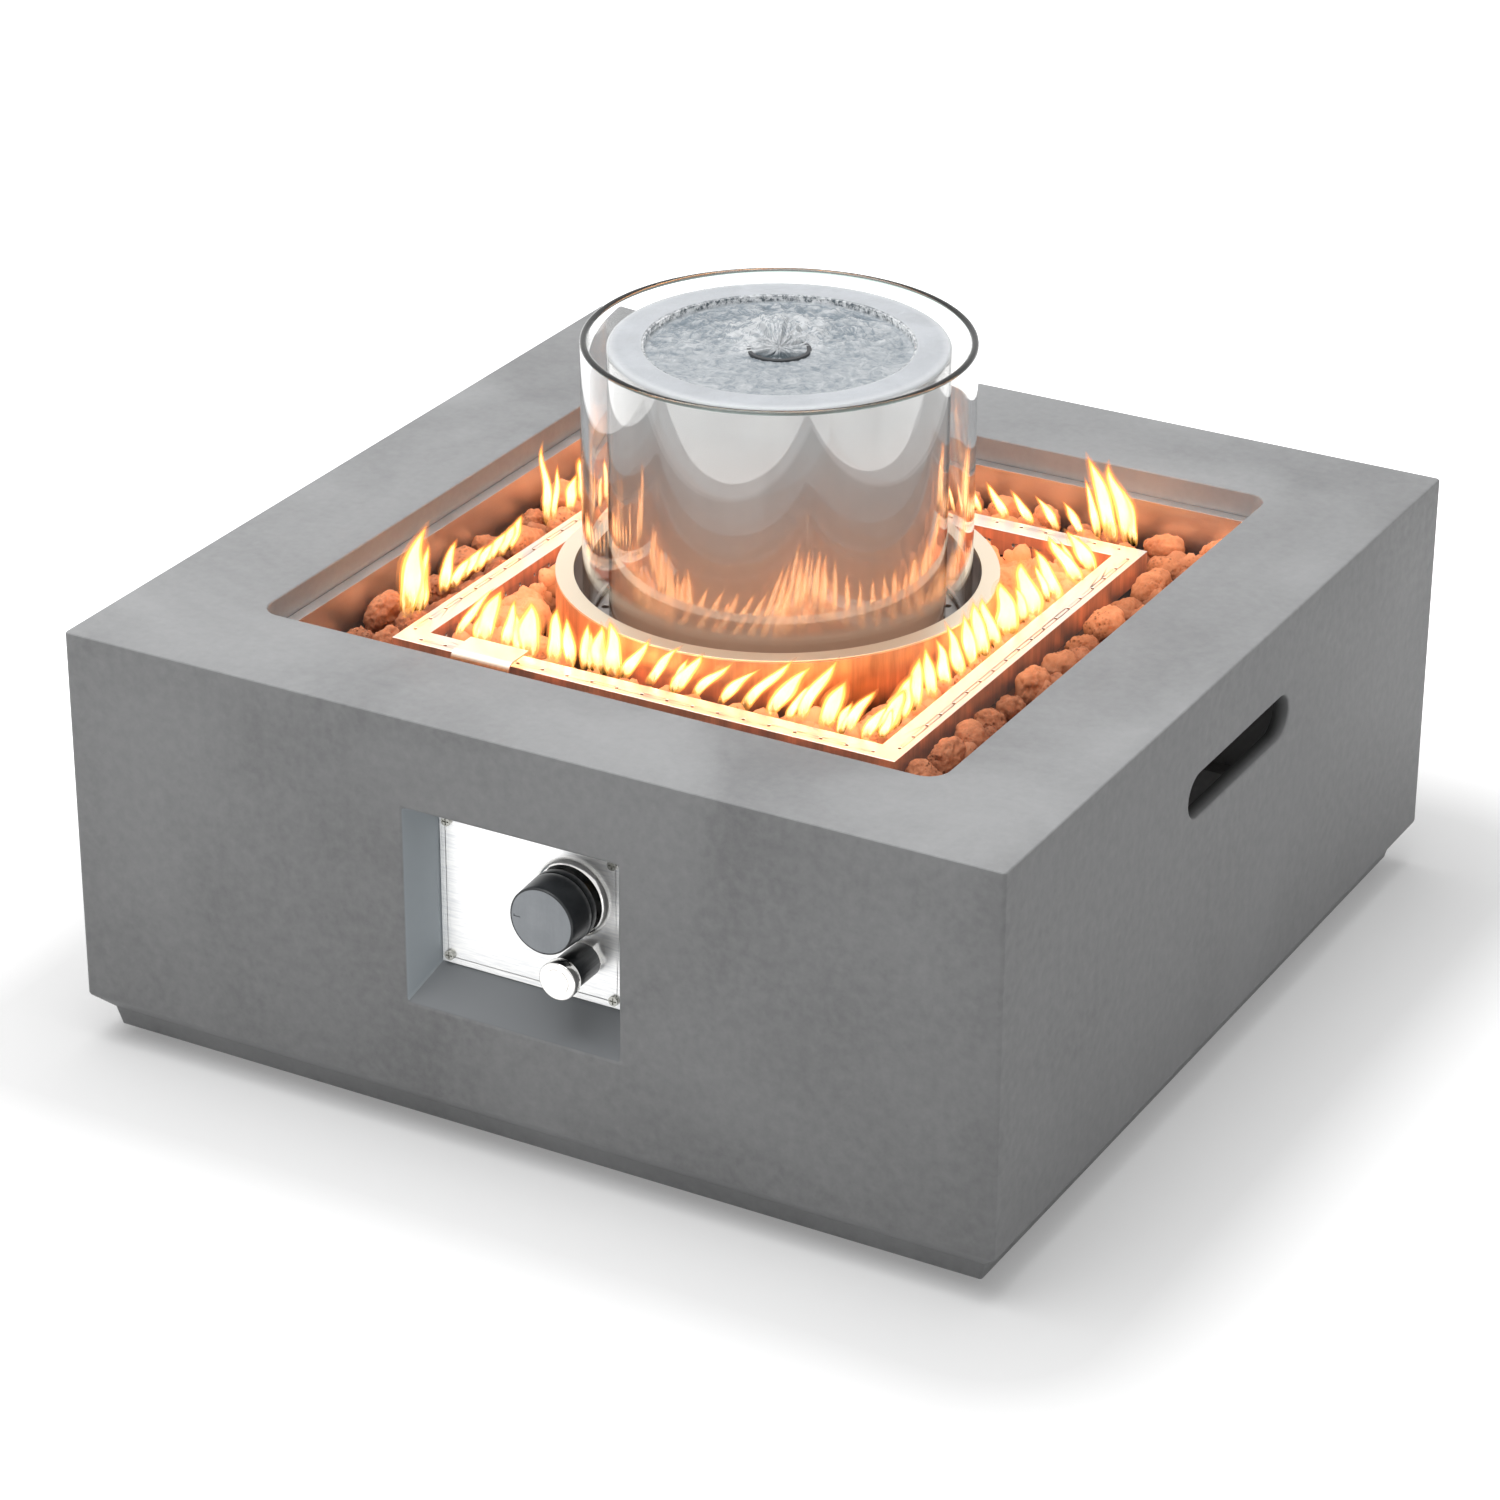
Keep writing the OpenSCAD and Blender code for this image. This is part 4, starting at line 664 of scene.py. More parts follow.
@dataclass(frozen=True)
class WellingWater(Finish):
    """The pale, churned water in the dish and the calm sheet on the weir."""

    # Crests are foam and painted highlight; troughs are painted shade.
    crest_highlight: Colour = (0.93, 0.95, 0.97)
    trough_painted_shade: Colour = (0.26, 0.32, 0.37)
    sheet: Colour = (0.76, 0.79, 0.83)
    # Painted shade for the weir's inner wall and the nozzle mouth.
    dark: Colour = (0.06, 0.09, 0.11)
    weir: float = 0.092
    mouth: float = 0.0195
    mouth_top: Spread = (0.4592, 0.4602)
    span: Spread = (0.4575, 0.4615)
    # Where the painted highlight runs along the rim.
    rim: Spread = (0.11, 0.1165)
    thrown: tuple[float, float] = (-0.486, 0.874)

    def paint(self, g: Graph, shader: bpy.types.Node, effects: Effects) -> None:
        """Colour the water by its height: pale crests of foam and painted highlight, troughs of painted
        shade, painted shade on the weir wall and in the nozzle mouth, and a painted highlight at the rim.

        Args:
            g: the material's tree.
            shader: its Principled shader.
            effects: the shared node groups.
        """
        shader.inputs["Transmission Weight"].default_value = 0.3
        shader.inputs["IOR"].default_value = 1.33
        place = g.place()
        axes = g.parts(place)
        out = g.reach(axes[0], axes[1])
        ripples = g.noise(place, 110.0, 5, 0.65, 1.5)
        crest_highlight = g.plus(g.span(axes[2], *self.span), g.times(g.minus(ripples, 0.5), 1.8), clamp=True)
        tone = effects.use(g, Effect.PATCHES, Light=self.sheet, Dark=tuple(0.86 * c for c in self.sheet),
                           Scale=22.0, Speck=0.4)
        # Pale crests of foam and painted highlight, troughs of painted shade.
        colour = g.mix(crest_highlight, self.trough_painted_shade, self.crest_highlight)
        colour = g.mix(g.span(out, self.weir, self.weir + 0.003), colour, tone["Colour"])
        # Painted highlight along the rim.
        colour = g.mix(g.span(out, *self.rim, 0.0, 0.8), colour, self.crest_highlight)
        around = g.add("ShaderNodeVectorMath", {0: g.scaled(place, (1.0, 1.0, 0.0))},
                       operation="NORMALIZE").outputs[0]
        ring = g.add("ShaderNodeCombineXYZ", {2: g.times(out, 46.0)}).outputs[0]
        spiral = g.add("ShaderNodeVectorMath", {0: g.scaled(around, (1.7, 1.7, 0.0)), 1: ring}).outputs[0]
        fold = g.size(g.minus(g.noise(spiral, 1.6, 4, 0.6, 1.2), 0.5))
        behind = g.plus(g.times(axes[0], self.thrown[0]), g.times(axes[1], self.thrown[1]))
        inside = g.span(out, self.weir - 0.004, self.weir, 1.0, 0.0)
        # Painted shade in swirls, stronger where the water wells.
        swirl_shade = g.times(g.span(fold, 0.01, 0.05, 1.0, 0.0), g.span(behind, -0.03, 0.045, 0.12, 0.8))
        colour = g.mix(g.times(swirl_shade, inside), colour, self.trough_painted_shade)
        # Painted shade in dark specks on the weir's inner wall.
        wall = g.times(g.span(out, self.weir - 0.0012, self.weir),
                       g.span(out, self.weir + 0.0006, self.weir + 0.0022, 1.0, 0.0))
        specks = g.span(g.noise(place, 260.0, 3, 0.7), 0.42, 0.6)
        colour = g.mix(g.times(wall, specks), colour, self.dark)
        # Painted shade in the nozzle mouth.
        mouth_painted_shade = g.times(g.span(out, self.mouth - 0.001, self.mouth, 1.0, 0.0),
                       g.span(axes[2], *self.mouth_top, 1.0, 0.0))
        colour = g.mix(g.times(mouth_painted_shade, g.span(ripples, 0.4, 0.75, 1.0, 0.55)), colour, self.dark)
        g.feed(shader.inputs["Base Color"], colour)
        g.feed(shader.inputs["Roughness"], g.span(ripples, 0.3, 0.8, self.roughness, self.roughness + 0.1))
        g.feed(shader.inputs["Normal"], g.bump(ripples, 0.0007, 0.5))


@dataclass(frozen=True)
class WetDrum(Finish):
    """Polished drum steel under falling water, with painted reflections in pale lobes below the weir and a
    painted fire reflection and glow low down.
    """

    colour: Colour = (0.42, 0.4, 0.39)
    # A painted fire reflection low down and painted reflections in the pale lobes.
    low_painted_fire_reflection: Colour = (0.74, 0.46, 0.33)
    lobe_painted_reflection: Colour = (0.55, 0.56, 0.565)
    # The colours of a painted glow, dim above and firelit low down.
    drum_painted_glow: Colour = (0.1, 0.1, 0.102)
    low_painted_fire_glow: Colour = (0.3, 0.165, 0.105)
    streak: Colour = (0.4, 0.38, 0.37)
    fire_reflection_heights: Spread = (0.3, 0.445)
    lobes: int = 6
    turn: float = -74.0
    top: float = 0.464
    depths: tuple[tuple[float, float], ...] = ((0.112, 0.14), (0.084, 0.2), (0.066, 0.62))

    def paint(self, g: Graph, shader: bpy.types.Node, effects: Effects) -> None:
        """Add the painted reflections in the lobes, the painted fire reflection and glow low down and fine
        vertical streaks, under a mirror-like coat.

        Args:
            g: the material's tree.
            shader: its Principled shader.
            effects: the shared node groups.
        """
        shader.inputs["Metallic"].default_value = 1.0
        shader.inputs["Coat Weight"].default_value = 1.0
        shader.inputs["Coat Roughness"].default_value = 0.015
        shader.inputs["Coat IOR"].default_value = 2.4
        place = g.place()
        axes = g.parts(place)
        angle = g.math("ARCTAN2", axes[1], axes[0])
        pitch = FULL_TURN / self.lobes
        turned = g.math("DIVIDE", g.minus(angle, math.radians(self.turn)), pitch)
        across = g.minus(g.math("FRACT", g.plus(turned, 0.5)), 0.5)
        side = g.times(across, 1.96)
        wander = g.times(g.minus(g.noise(place, 14.0, 2), 0.5), 0.02)
        below = g.plus(g.minus(self.top, axes[2]), wander)
        # Painted fire reflection and painted glow low on the drum.
        firelight_share = g.span(axes[2], *self.fire_reflection_heights, 1.0, 0.0)
        colour = g.mix(firelight_share, self.colour, self.low_painted_fire_reflection)
        g.feed(shader.inputs["Emission Color"], g.mix(firelight_share, self.drum_painted_glow, self.low_painted_fire_glow))
        shader.inputs["Emission Strength"].default_value = 1.0
        # Painted reflections in pale lobes below the weir.
        for depth, strength in self.depths:
            out = g.reach(side, g.math("DIVIDE", below, depth))
            colour = g.mix(g.span(out, 0.96, 1.02, strength, 0.0), colour, self.lobe_painted_reflection)
        streaks = effects.use(g, Effect.BRUSHED, Vector=g.scaled(place, (1.0, 1.0, 0.06)), Scale=150.0)
        streaked = g.span(streaks["Streaks"], 0.35, 0.65, 0.0, 0.12)
        g.feed(shader.inputs["Base Color"], g.mix(streaked, colour, self.streak))
        g.feed(shader.inputs["Roughness"], g.span(
            streaks["Streaks"], 0.3, 0.7, self.roughness - 0.05, self.roughness + 0.05))
        g.feed(shader.inputs["Normal"], g.bump(streaks["Height"], 0.000002, 0.2))


@dataclass(frozen=True)
class Flame(Finish):
    """Fire whose colour and thickness change from its root to its tip."""

    root: Colour = (1.0, 0.32, 0.05)
    middle: Colour = (1.0, 0.62, 0.18)
    tip: Colour = (1.0, 0.42, 0.06)
    strength: float = 2.0
    thickness: float = 0.6
    fade: tuple[float, float] = (0.05, 0.35)

    def paint(self, g: Graph, shader: bpy.types.Node, effects: Effects) -> None:
        """Colour the flame along its length, the UV map's V, and part its root in fingers.

        Args:
            g: the material's tree.
            shader: its Principled shader.
            effects: the shared node groups, not used here.
        """
        rise = g.parts(g.add("ShaderNodeUVMap", uv_map="rise").outputs[0])[1]
        colour = g.ramp(rise, (0.0, self.root), (0.45, self.middle), (1.0, self.tip))
        wisp = g.noise(g.scaled(g.place(), (1.0, 1.0, 0.2)), 230.0, 3, 0.6)
        shade = g.mix(g.span(wisp, 0.3, 0.7, 0.0, 0.2), colour, self.root)
        g.feed(shader.inputs["Base Color"], shade)
        g.feed(shader.inputs["Emission Color"], shade)
        shader.inputs["Emission Strength"].default_value = self.strength
        shader.inputs["Specular IOR Level"].default_value = 0.0
        fingers = g.plus(rise, g.times(g.minus(wisp, 0.5), 0.75))
        g.feed(shader.inputs["Alpha"], g.span(fingers, *self.fade, 0.0, self.thickness))


FINISHES = (
    CastStone("concrete", 0.58),
    LavaRock("lava_rock", 0.92),
    Steel("sheet_steel", 0.38, (0.8, 0.79, 0.79), (0.68, 0.66, 0.65), (1.0, 1.0, 8.0), 70.0,
          heat_tint_and_firelight=0.6, heat_tint_and_firelight_colour=(0.96, 0.84, 0.75), painted_glow=0.07),
    Steel("heat_steel", 0.4, (0.9, 0.82, 0.72), (0.84, 0.74, 0.62), (1.0, 1.0, 0.1), 110.0, 0.08,
          0.9, (0.93, 0.88, 0.82), 0.05, dent=0.00002, upright_stain_and_firelight=(0.85, 0.47, 0.25)),
    Steel("screw_steel", 0.3, (0.5, 0.5, 0.47), (0.34, 0.34, 0.31), grain=200.0),
    Steel("polished_steel", 0.12, (0.9, 0.89, 0.87), (0.8, 0.79, 0.77), (1.0, 9.0, 1.0), 90.0, 0.06),
    WetDrum("drum_steel", 0.5),
    Steel("brass_fitting", 0.28, (0.83, 0.6, 0.25), (0.6, 0.4, 0.14), grain=120.0),
    Steel("copper_line", 0.3, (0.85, 0.45, 0.28), (0.55, 0.25, 0.14), grain=120.0),
    Steel("knob_disc", 0.36, (0.24, 0.25, 0.26), (0.16, 0.17, 0.18), (14.0, 1.0, 1.0), 60.0, 0.1),
    Moulded("black_rubber", 0.75),
    Moulded("seal_rubber", 0.7, (0.05, 0.05, 0.052), (0.12, 0.12, 0.12)),
    Moulded("lead_jacket", 0.5),
    Moulded("black_plastic", 0.32, (0.012, 0.014, 0.016), (0.05, 0.055, 0.06), 1500.0, 0.00003),
    Moulded("pump_plastic", 0.45, (0.02, 0.022, 0.026), (0.08, 0.085, 0.09)),
    Moulded("white_ceramic", 0.35, (0.82, 0.8, 0.75), (0.7, 0.66, 0.58), 500.0),
    Moulded("battery_wrap", 0.4, (0.05, 0.08, 0.16), (0.12, 0.15, 0.22)),
    ClearGlass("clear_glass", 0.0),
    ClearGlass("clear_pipe", 0.1, (0.9, 0.92, 0.92), 1.4, 0.2),
)
GLASS_EDGE = ClearGlass("glass_edge", 0.0, (0.3, 0.42, 0.38), 1.5, 0.1)
FALLING_WATER = FallingWater("falling_water", 0.0)
WELLING_WATER = WellingWater("welling_water", 0.08)
FLAME_OUTER = Flame("flame_border", 1.0, (1.0, 0.3, 0.05), (1.0, 0.42, 0.09), (1.0, 0.34, 0.06),
                    1.1, 0.26, (0.1, 0.5))
FLAME_MIDDLE = Flame("flame_body", 1.0, (1.0, 0.45, 0.07), (1.0, 0.66, 0.2), (1.0, 0.55, 0.14),
                     1.3, 0.5, (0.02, 0.3))
FLAME_CORE = Flame("flame_heart", 1.0, (1.0, 0.7, 0.3), (1.0, 0.92, 0.86), (1.0, 0.85, 0.66),
                   2.2, 0.95, (0.14, 0.4))
FLAME_HALO = Flame("flame_halo", 1.0, (1.0, 0.3, 0.06), (1.0, 0.5, 0.18), (1.0, 0.4, 0.12),
                   0.9, 0.1, (0.15, 0.6))


class Palette:
    """The materials, one per finish."""

    def __init__(self) -> None:
        """Make the shared effects."""
        self.effects = Effects()
        self.made: dict[str, bpy.types.Material] = {}

    def get(self, finish: Finish) -> bpy.types.Material:
        """The material of a finish, made on first use."""
        if finish.name not in self.made:
            self.made[finish.name] = finish.material(self.effects)
        return self.made[finish.name]

    def slot(self, name: str) -> bpy.types.Material:
        """The material for one of the record's slots."""
        return self.get(next(f for f in FINISHES if f.name == name))


# Meshes


def linked(name: str, data: bpy.types.ID) -> bpy.types.Object:
    """A new object in the scene's own collection."""
    made = bpy.data.objects.new(name, data)
    bpy.context.scene.collection.objects.link(made)
    return made


def stored(name: str, work: bmesh.types.BMesh) -> bpy.types.Mesh:
    """The mesh of some finished modelling work."""
    made = bpy.data.meshes.new(name)
    work.to_mesh(made)
    work.free()
    return made


def rounded_rect(half_x: float, half_y: float, radius: float, z: float, steps: int = 6,
                 middle: tuple[float, float] = (0, 0)) -> Ring:
    """Points round a rectangle with arcs at its corners, level at a height.

    Args:
        half_x: half its width, mm.
        half_y: half its depth, mm.
        radius: corner radius, mm.
        z: height, mm.
        steps: pieces in each arc.
        middle: its middle, mm.

    Returns:
        The points in metres, counter-clockwise.
    """
    points = []
    for quarter, (sx, sy) in enumerate(((1, 1), (-1, 1), (-1, -1), (1, -1))):
        for step in range(steps + 1):
            angle = (quarter + step / steps) * FULL_TURN / 4
            points.append(Vector((
                middle[0] + sx * (half_x - radius) + radius * math.cos(angle),
                middle[1] + sy * (half_y - radius) + radius * math.sin(angle), z)) * MM)
    return points


def lofted(name: str, rings: Sequence[Ring], closed: bool = False) -> bpy.types.Mesh:
    """A mesh through rings of equal length.

    Args:
        name: the mesh's name.
        rings: the rings, in order.
        closed: join the last ring to the first instead of capping both.

    Returns:
        The mesh, with its normals outward.
    """
    mesh = bmesh.new()
    rows = [[mesh.verts.new(p) for p in ring] for ring in rings]
    pairs = list(zip(rows, rows[1:])) + ([(rows[-1], rows[0])] if closed else [])
    for low, high in pairs:
        for k in range(len(low)):
            n = (k + 1) % len(low)
            mesh.faces.new((low[k], low[n], high[n], high[k]))
    if not closed:
        mesh.faces.new(list(reversed(rows[0])))
        mesh.faces.new(rows[-1])
    bmesh.ops.recalc_face_normals(mesh, faces=mesh.faces)
    return stored(name, mesh)


def lathed(name: str, profile: Sequence[tuple[float, float]], sides: int = 128,
           closed: bool = True) -> bpy.types.Mesh:
    """A profile of (radius, height) points in mm, turned round the Z axis."""
    rings = [[Vector((r * math.cos(a), r * math.sin(a), z)) * MM
              for a in (FULL_TURN * k / sides for k in range(sides))] for r, z in profile]
    return lofted(name, rings, closed)


def block(name: str, low: Sequence[float], high: Sequence[float]) -> bpy.types.Mesh:
    """A box between two corners in mm, as a cutter or a lug."""
    half = [(b - a) / 2 for a, b in zip(low, high)]
    middle = [(a + b) / 2 for a, b in zip(low, high)]
    rings = [[Vector((middle[0] + x * half[0], middle[1] + y * half[1], z)) * MM
              for x, y in ((1, 1), (-1, 1), (-1, -1), (1, -1))] for z in (low[2], high[2])]
    return lofted(name, rings)


def piece(name: str, mesh: bpy.types.Mesh, body: str, materials: Iterable[bpy.types.Material],
          sharp: Optional[float] = 35.0) -> bpy.types.Object:
    """Put a mesh in the scene as a piece that rides on a body.

    Args:
        name: the piece's name.
        mesh: its mesh, in the part's frame.
        body: the body that it rides on.
        materials: its materials.
        sharp: edges bent more than this many degrees stay sharp.

    Returns:
        The object.
    """
    made = linked(name, mesh)
    for material in materials:
        mesh.materials.append(material)
    mesh.shade_smooth()
    if sharp is not None:
        mesh.set_sharp_from_angle(angle=math.radians(sharp))
    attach(made, body)
    log.info("%s rides on %s: %d faces", name, body, len(mesh.polygons))
    return made


def carved(base: bpy.types.Mesh, steps: Sequence[tuple[str, bpy.types.Mesh]]) -> bpy.types.Mesh:
    """A mesh after a series of exact boolean steps.

    Args:
        base: the mesh to start from.
        steps: each an operation's name and the mesh to use.

    Returns:
        The new mesh.
    """
    worked = linked("worked", base)
    tools = []
    for operation, mesh in steps:
        tool = linked("tool", mesh)
        tools.append(tool)
        change = worked.modifiers.new("carve", "BOOLEAN")
        change.operation, change.object, change.solver = operation, tool, "EXACT"
    bpy.context.view_layer.update()
    seen = worked.evaluated_get(bpy.context.evaluated_depsgraph_get())
    made = bpy.data.meshes.new_from_object(seen)
    for used in [worked, *tools]:
        bpy.data.objects.remove(used)
    return made


# Studio


@dataclass
class Studio:
    """The camera, the soft light and the white floor."""

    camera_at: tuple[float, float, float] = (1.4436, -2.6312, 1.6396)
    target: tuple[float, float, float] = (0.0306, -0.0933, 0.205)
    lens: float = 113.82
    roll: float = 0.235
    sky: float = 0.225
    footprint: float = 0.35
    lamps: tuple[tuple[str, tuple[float, float, float], float, float], ...] = (
        ("overhead", (-0.35, -0.35, 3.2), 3.0, 95.0), ("left_fill", (-3.2, -2.4, 1.5), 2.2, 2.0))
    floor_seen: float = 0.74
    floor_bounce: float = 0.54
    shadow_fade: Spread = (0.08, 0.32)
    shadow_floor: float = 0.25

    def build(self) -> None:
        """Make the camera first, then the lights and the floor."""
        bpy.context.scene.view_settings.view_transform = "Standard"
        self._camera()
        self._world()
        for lamp in self.lamps:
            self._lamp(*lamp)
        self._floor()

    def _camera(self) -> None:
        """Place the camera at the photograph's view."""
        data = bpy.data.cameras.new("camera")
        data.lens, data.sensor_width = self.lens, 36
        made = linked("camera", data)
        ahead = (Vector(self.target) - Vector(self.camera_at)).normalized()
        right = ahead.cross(Vector((0, 0, 1))).normalized()
        up = right.cross(ahead)
        turn = math.radians(self.roll)
        right, up = (math.cos(turn) * right + math.sin(turn) * up,
                     math.cos(turn) * up - math.sin(turn) * right)
        axes = Matrix((right, up, -ahead)).transposed().to_4x4()
        made.matrix_world = Matrix.Translation(self.camera_at) @ axes
        bpy.context.scene.camera = made

    def _seen(self, g: Graph) -> Socket:
        """1 for rays that the camera, a reflection or clear glass sends."""
        path = g.add("ShaderNodeLightPath").outputs
        either = g.math("MAXIMUM", path["Is Camera Ray"], path["Is Glossy Ray"])
        return g.math("MAXIMUM", either, path["Is Transmission Ray"])

    def _world(self) -> None:
        """A dim even sky that looks white where it is seen."""
        world = bpy.data.worlds.new("studio")
        bpy.context.scene.world = world
        world.use_nodes = True
        g = Graph(world.node_tree)
        dim = g.add("ShaderNodeBackground", {"Color": (1.0, 1.0, 1.0), "Strength": self.sky})
        white = g.add("ShaderNodeBackground", {"Color": (1.0, 1.0, 1.0), "Strength": 1.0})
        both = g.add("ShaderNodeMixShader", {0: self._seen(g), 1: dim.outputs[0], 2: white.outputs[0]})
        g.add("ShaderNodeOutputWorld", {0: both.outputs[0]})

    def _lamp(self, name: str, at: Sequence[float], size: float, power: float) -> None:
        """Add a large soft lamp that faces the object and isn't seen itself.

        Args:
            name: the lamp's name.
            at: its place, metres.
            size: its side, metres.
            power: its power, watts.
        """
        data = bpy.data.lights.new(name, "AREA")
        data.size, data.energy = size, power
        made = linked(name, data)
        made.location = at
        made.rotation_euler = (Vector((0, 0, 0.2)) - Vector(at)).to_track_quat("-Z", "Y").to_euler()
        made.visible_camera = False

    def _floor(self) -> None:
        """A large white floor that keeps the object's shadow."""
        mesh = bmesh.new()
        bmesh.ops.create_grid(mesh, x_segments=8, y_segments=8, size=30)
        data = stored("floor", mesh)
        floor = linked("floor", data)
        made = bpy.data.materials.new("white_floor")
        made.use_nodes = True
        g = Graph(made.node_tree)
        seen = self._seen(g)
        lit = g.add("ShaderNodeBsdfDiffuse", {
            "Color": g.mix(seen, (self.floor_bounce,) * 3, (self.floor_seen,) * 3)})
        past = [g.math("MAXIMUM", g.minus(g.size(axis), self.footprint), 0.0)
                for axis in list(g.parts(g.place()))[:2]]
        painted_glow = g.span(g.reach(*past), *self.shadow_fade, self.shadow_floor, 1.0)
        own = g.add("ShaderNodeEmission", {"Color": (1.0, 1.0, 1.0), "Strength": g.times(seen, painted_glow)})
        both = g.add("ShaderNodeAddShader", {0: lit.outputs[0], 1: own.outputs[0]})
        g.add("ShaderNodeOutputMaterial", {0: both.outputs[0]})
        data.materials.append(made)


# The cast body


@dataclass
class ConcreteBody:
    """The cast concrete body, as one mesh with rounded edges."""

    half: float = 350
    top: float = 310
    foot: float = 8
    plinth_half: tuple[float, float] = (334, 337)
    plinth_top: float = 22
    bevel_top: float = 35
    soft: float = 1.6
    opening_half: float = 257
    opening_r: float = 15
    slab: float = 20
    inner_half: float = 338
    band_half: float = 322
    band_top: float = 50
    rib: tuple[float, float, float] = (250, 270, 272)
    lug_from: float = 276
    recess_front: tuple[float, float, float, float] = (-85, 78.5, 101, 245.5)
    recess_back: tuple[float, float, float, float] = (-74.5, 64.5, 122, 234.5)
    recess_depth: float = 29.5
    recess_wall: float = 8
    flange: float = 12
    slot_size: tuple[float, float] = (164, 32)
    slot_middle: tuple[float, float] = (5, 236)
    service: tuple[float, float, float] = (110, 54, 100)
    replaced: tuple[str, ...] = ("rim_slab", "bowl_ledge", "side_walls", "end_walls", "plinth_band")

    def _outside(self) -> bpy.types.Mesh:
        """The outer form, with its plinth, its bevel and a soft top edge.

        Returns:
            The solid form, before it is carved.
        """
        s = self.soft
        rings = [(self.plinth_half[0], 2, self.foot), (self.plinth_half[1], 2, self.plinth_top),
                 (self.half - 0.6, 3, self.bevel_top - 0.8), (self.half, 3, self.bevel_top + 0.8),
                 (self.half, 3, self.top - s), (self.half - 0.13 * s, 3, self.top - 0.5 * s),
                 (self.half - 0.5 * s, 2.5, self.top - 0.13 * s), (self.half - s, 2, self.top)]
        return lofted("outside", [rounded_rect(h, h, r, z) for h, r, z in rings])

    def _opening(self) -> bpy.types.Mesh:
        """The square opening, flared to round the rim's inner edge.

        Returns:
            The form to cut away.
        """
        s = self.soft
        rings = [(0, self.top - self.slab - 1), (0, self.top - s), (0.13 * s, self.top - 0.5 * s),
                 (0.5 * s, self.top - 0.13 * s), (s, self.top), (s, self.top + 2)]
        return lofted("opening", [rounded_rect(self.opening_half + g, self.opening_half + g,
                                               self.opening_r + g, z) for g, z in rings])

    def _recess(self) -> bpy.types.Mesh:
        """The splayed recess, flared to round its front edge.

        Returns:
            The form to cut away.
        """
        s = self.soft
        front = -self.half
        rings = []
        for y, grow in ((front - 2, s), (front, s), (front + 0.13 * s, 0.5 * s),
                        (front + 0.5 * s, 0.13 * s), (front + s, 0), (front + self.recess_depth, 0)):
            share = min(max((y - front) / self.recess_depth, 0), 1)
            x0, x1, z0, z1 = [a + share * (b - a) for a, b in zip(self.recess_front, self.recess_back)]
            flat = rounded_rect((x1 - x0) / 2 + grow, (z1 - z0) / 2 + grow, 2.5, 0, 4,
                                ((x0 + x1) / 2, (z0 + z1) / 2))
            rings.append([Vector((p.x, y * MM, p.y)) for p in flat])
        return lofted("recess", rings)

    def _slot(self, side: int) -> bpy.types.Mesh:
        """A hand slot through one side wall, flared at its outer face.

        Args:
            side: 1 for the right wall, -1 for the left.

        Returns:
            The form to cut away.
        """
        s = self.soft
        rings = []
        for x, grow in ((self.inner_half - 2, 0), (self.half - s, 0), (self.half - 0.5 * s, 0.13 * s),
                        (self.half - 0.13 * s, 0.5 * s), (self.half, s), (self.half + 2, s)):
            length, height = self.slot_size
            flat = rounded_rect(length / 2 + grow, height / 2 + grow, height / 2 + grow - 0.01, 0, 12,
                                self.slot_middle)
            rings.append([Vector((side * x * MM, p.x, p.y)) for p in flat])
        return lofted("slot", rings)

    def build(self, palette: Palette) -> None:
        """Carve the body and dress it.

        Args:
            palette: the materials.
        """
        low, deep = self.foot - 1, self.top - self.slab
        w, front = self.recess_wall, -self.half
        back = front + self.recess_depth
        bx0, bx1, bz0, bz1 = self.recess_back
        f = self.flange
        band, wall = self.band_half, self.inner_half
        steps = [
            ("DIFFERENCE", block("low", (-band, -band, low), (band, band, self.band_top))),
            ("DIFFERENCE", block("high", (-wall, -wall, self.band_top - 1), (wall, wall, deep))),
            ("DIFFERENCE", self._opening())]
        for sx in (-1, 1):
            for sy in (-1, 1):
                a, b = self.lug_from, band + 2
                low_corner = (min(sx * a, sx * b), min(sy * a, sy * b), self.foot)
                high_corner = (max(sx * a, sx * b), max(sy * a, sy * b), self.band_top)
                steps.append(("UNION", block("lug", low_corner, high_corner)))
        r0, r1, rz = self.rib
        for x0, y0, x1, y1 in ((-r1, r0, r1, r1), (-r1, -r1, r1, -r0), (r0, -r0 - 1, r1, r0 + 1),
                               (-r1, -r0 - 1, -r0, r0 + 1)):
            steps.append(("UNION", block("rib", (x0, y0, rz), (x1, y1, deep + 1))))
        x0, x1, z0, z1 = self.recess_front
        steps += [
            ("UNION", block("recess_block", (x0 - w, front + 6, z0 - w), (x1 + w, back + w, z1 + w))),
            ("DIFFERENCE", self._recess()),
            ("DIFFERENCE", block("window", (bx0 + f, back - 1, bz0 + f), (bx1 - f, back + w + 1, bz1 - f))),
            ("DIFFERENCE", self._slot(1)), ("DIFFERENCE", self._slot(-1))]
        sw, sh, sz = self.service
        steps.append(("DIFFERENCE", block("service", (-sw / 2, wall - 2, sz - sh / 2),
                                          (sw / 2, self.half + 2, sz + sh / 2))))
        stone = [palette.slot("concrete")]
        body = piece("concrete_body", carved(self._outside(), steps), "fire_pit", stone, 25)
        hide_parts(*self.replaced)


# Rocks


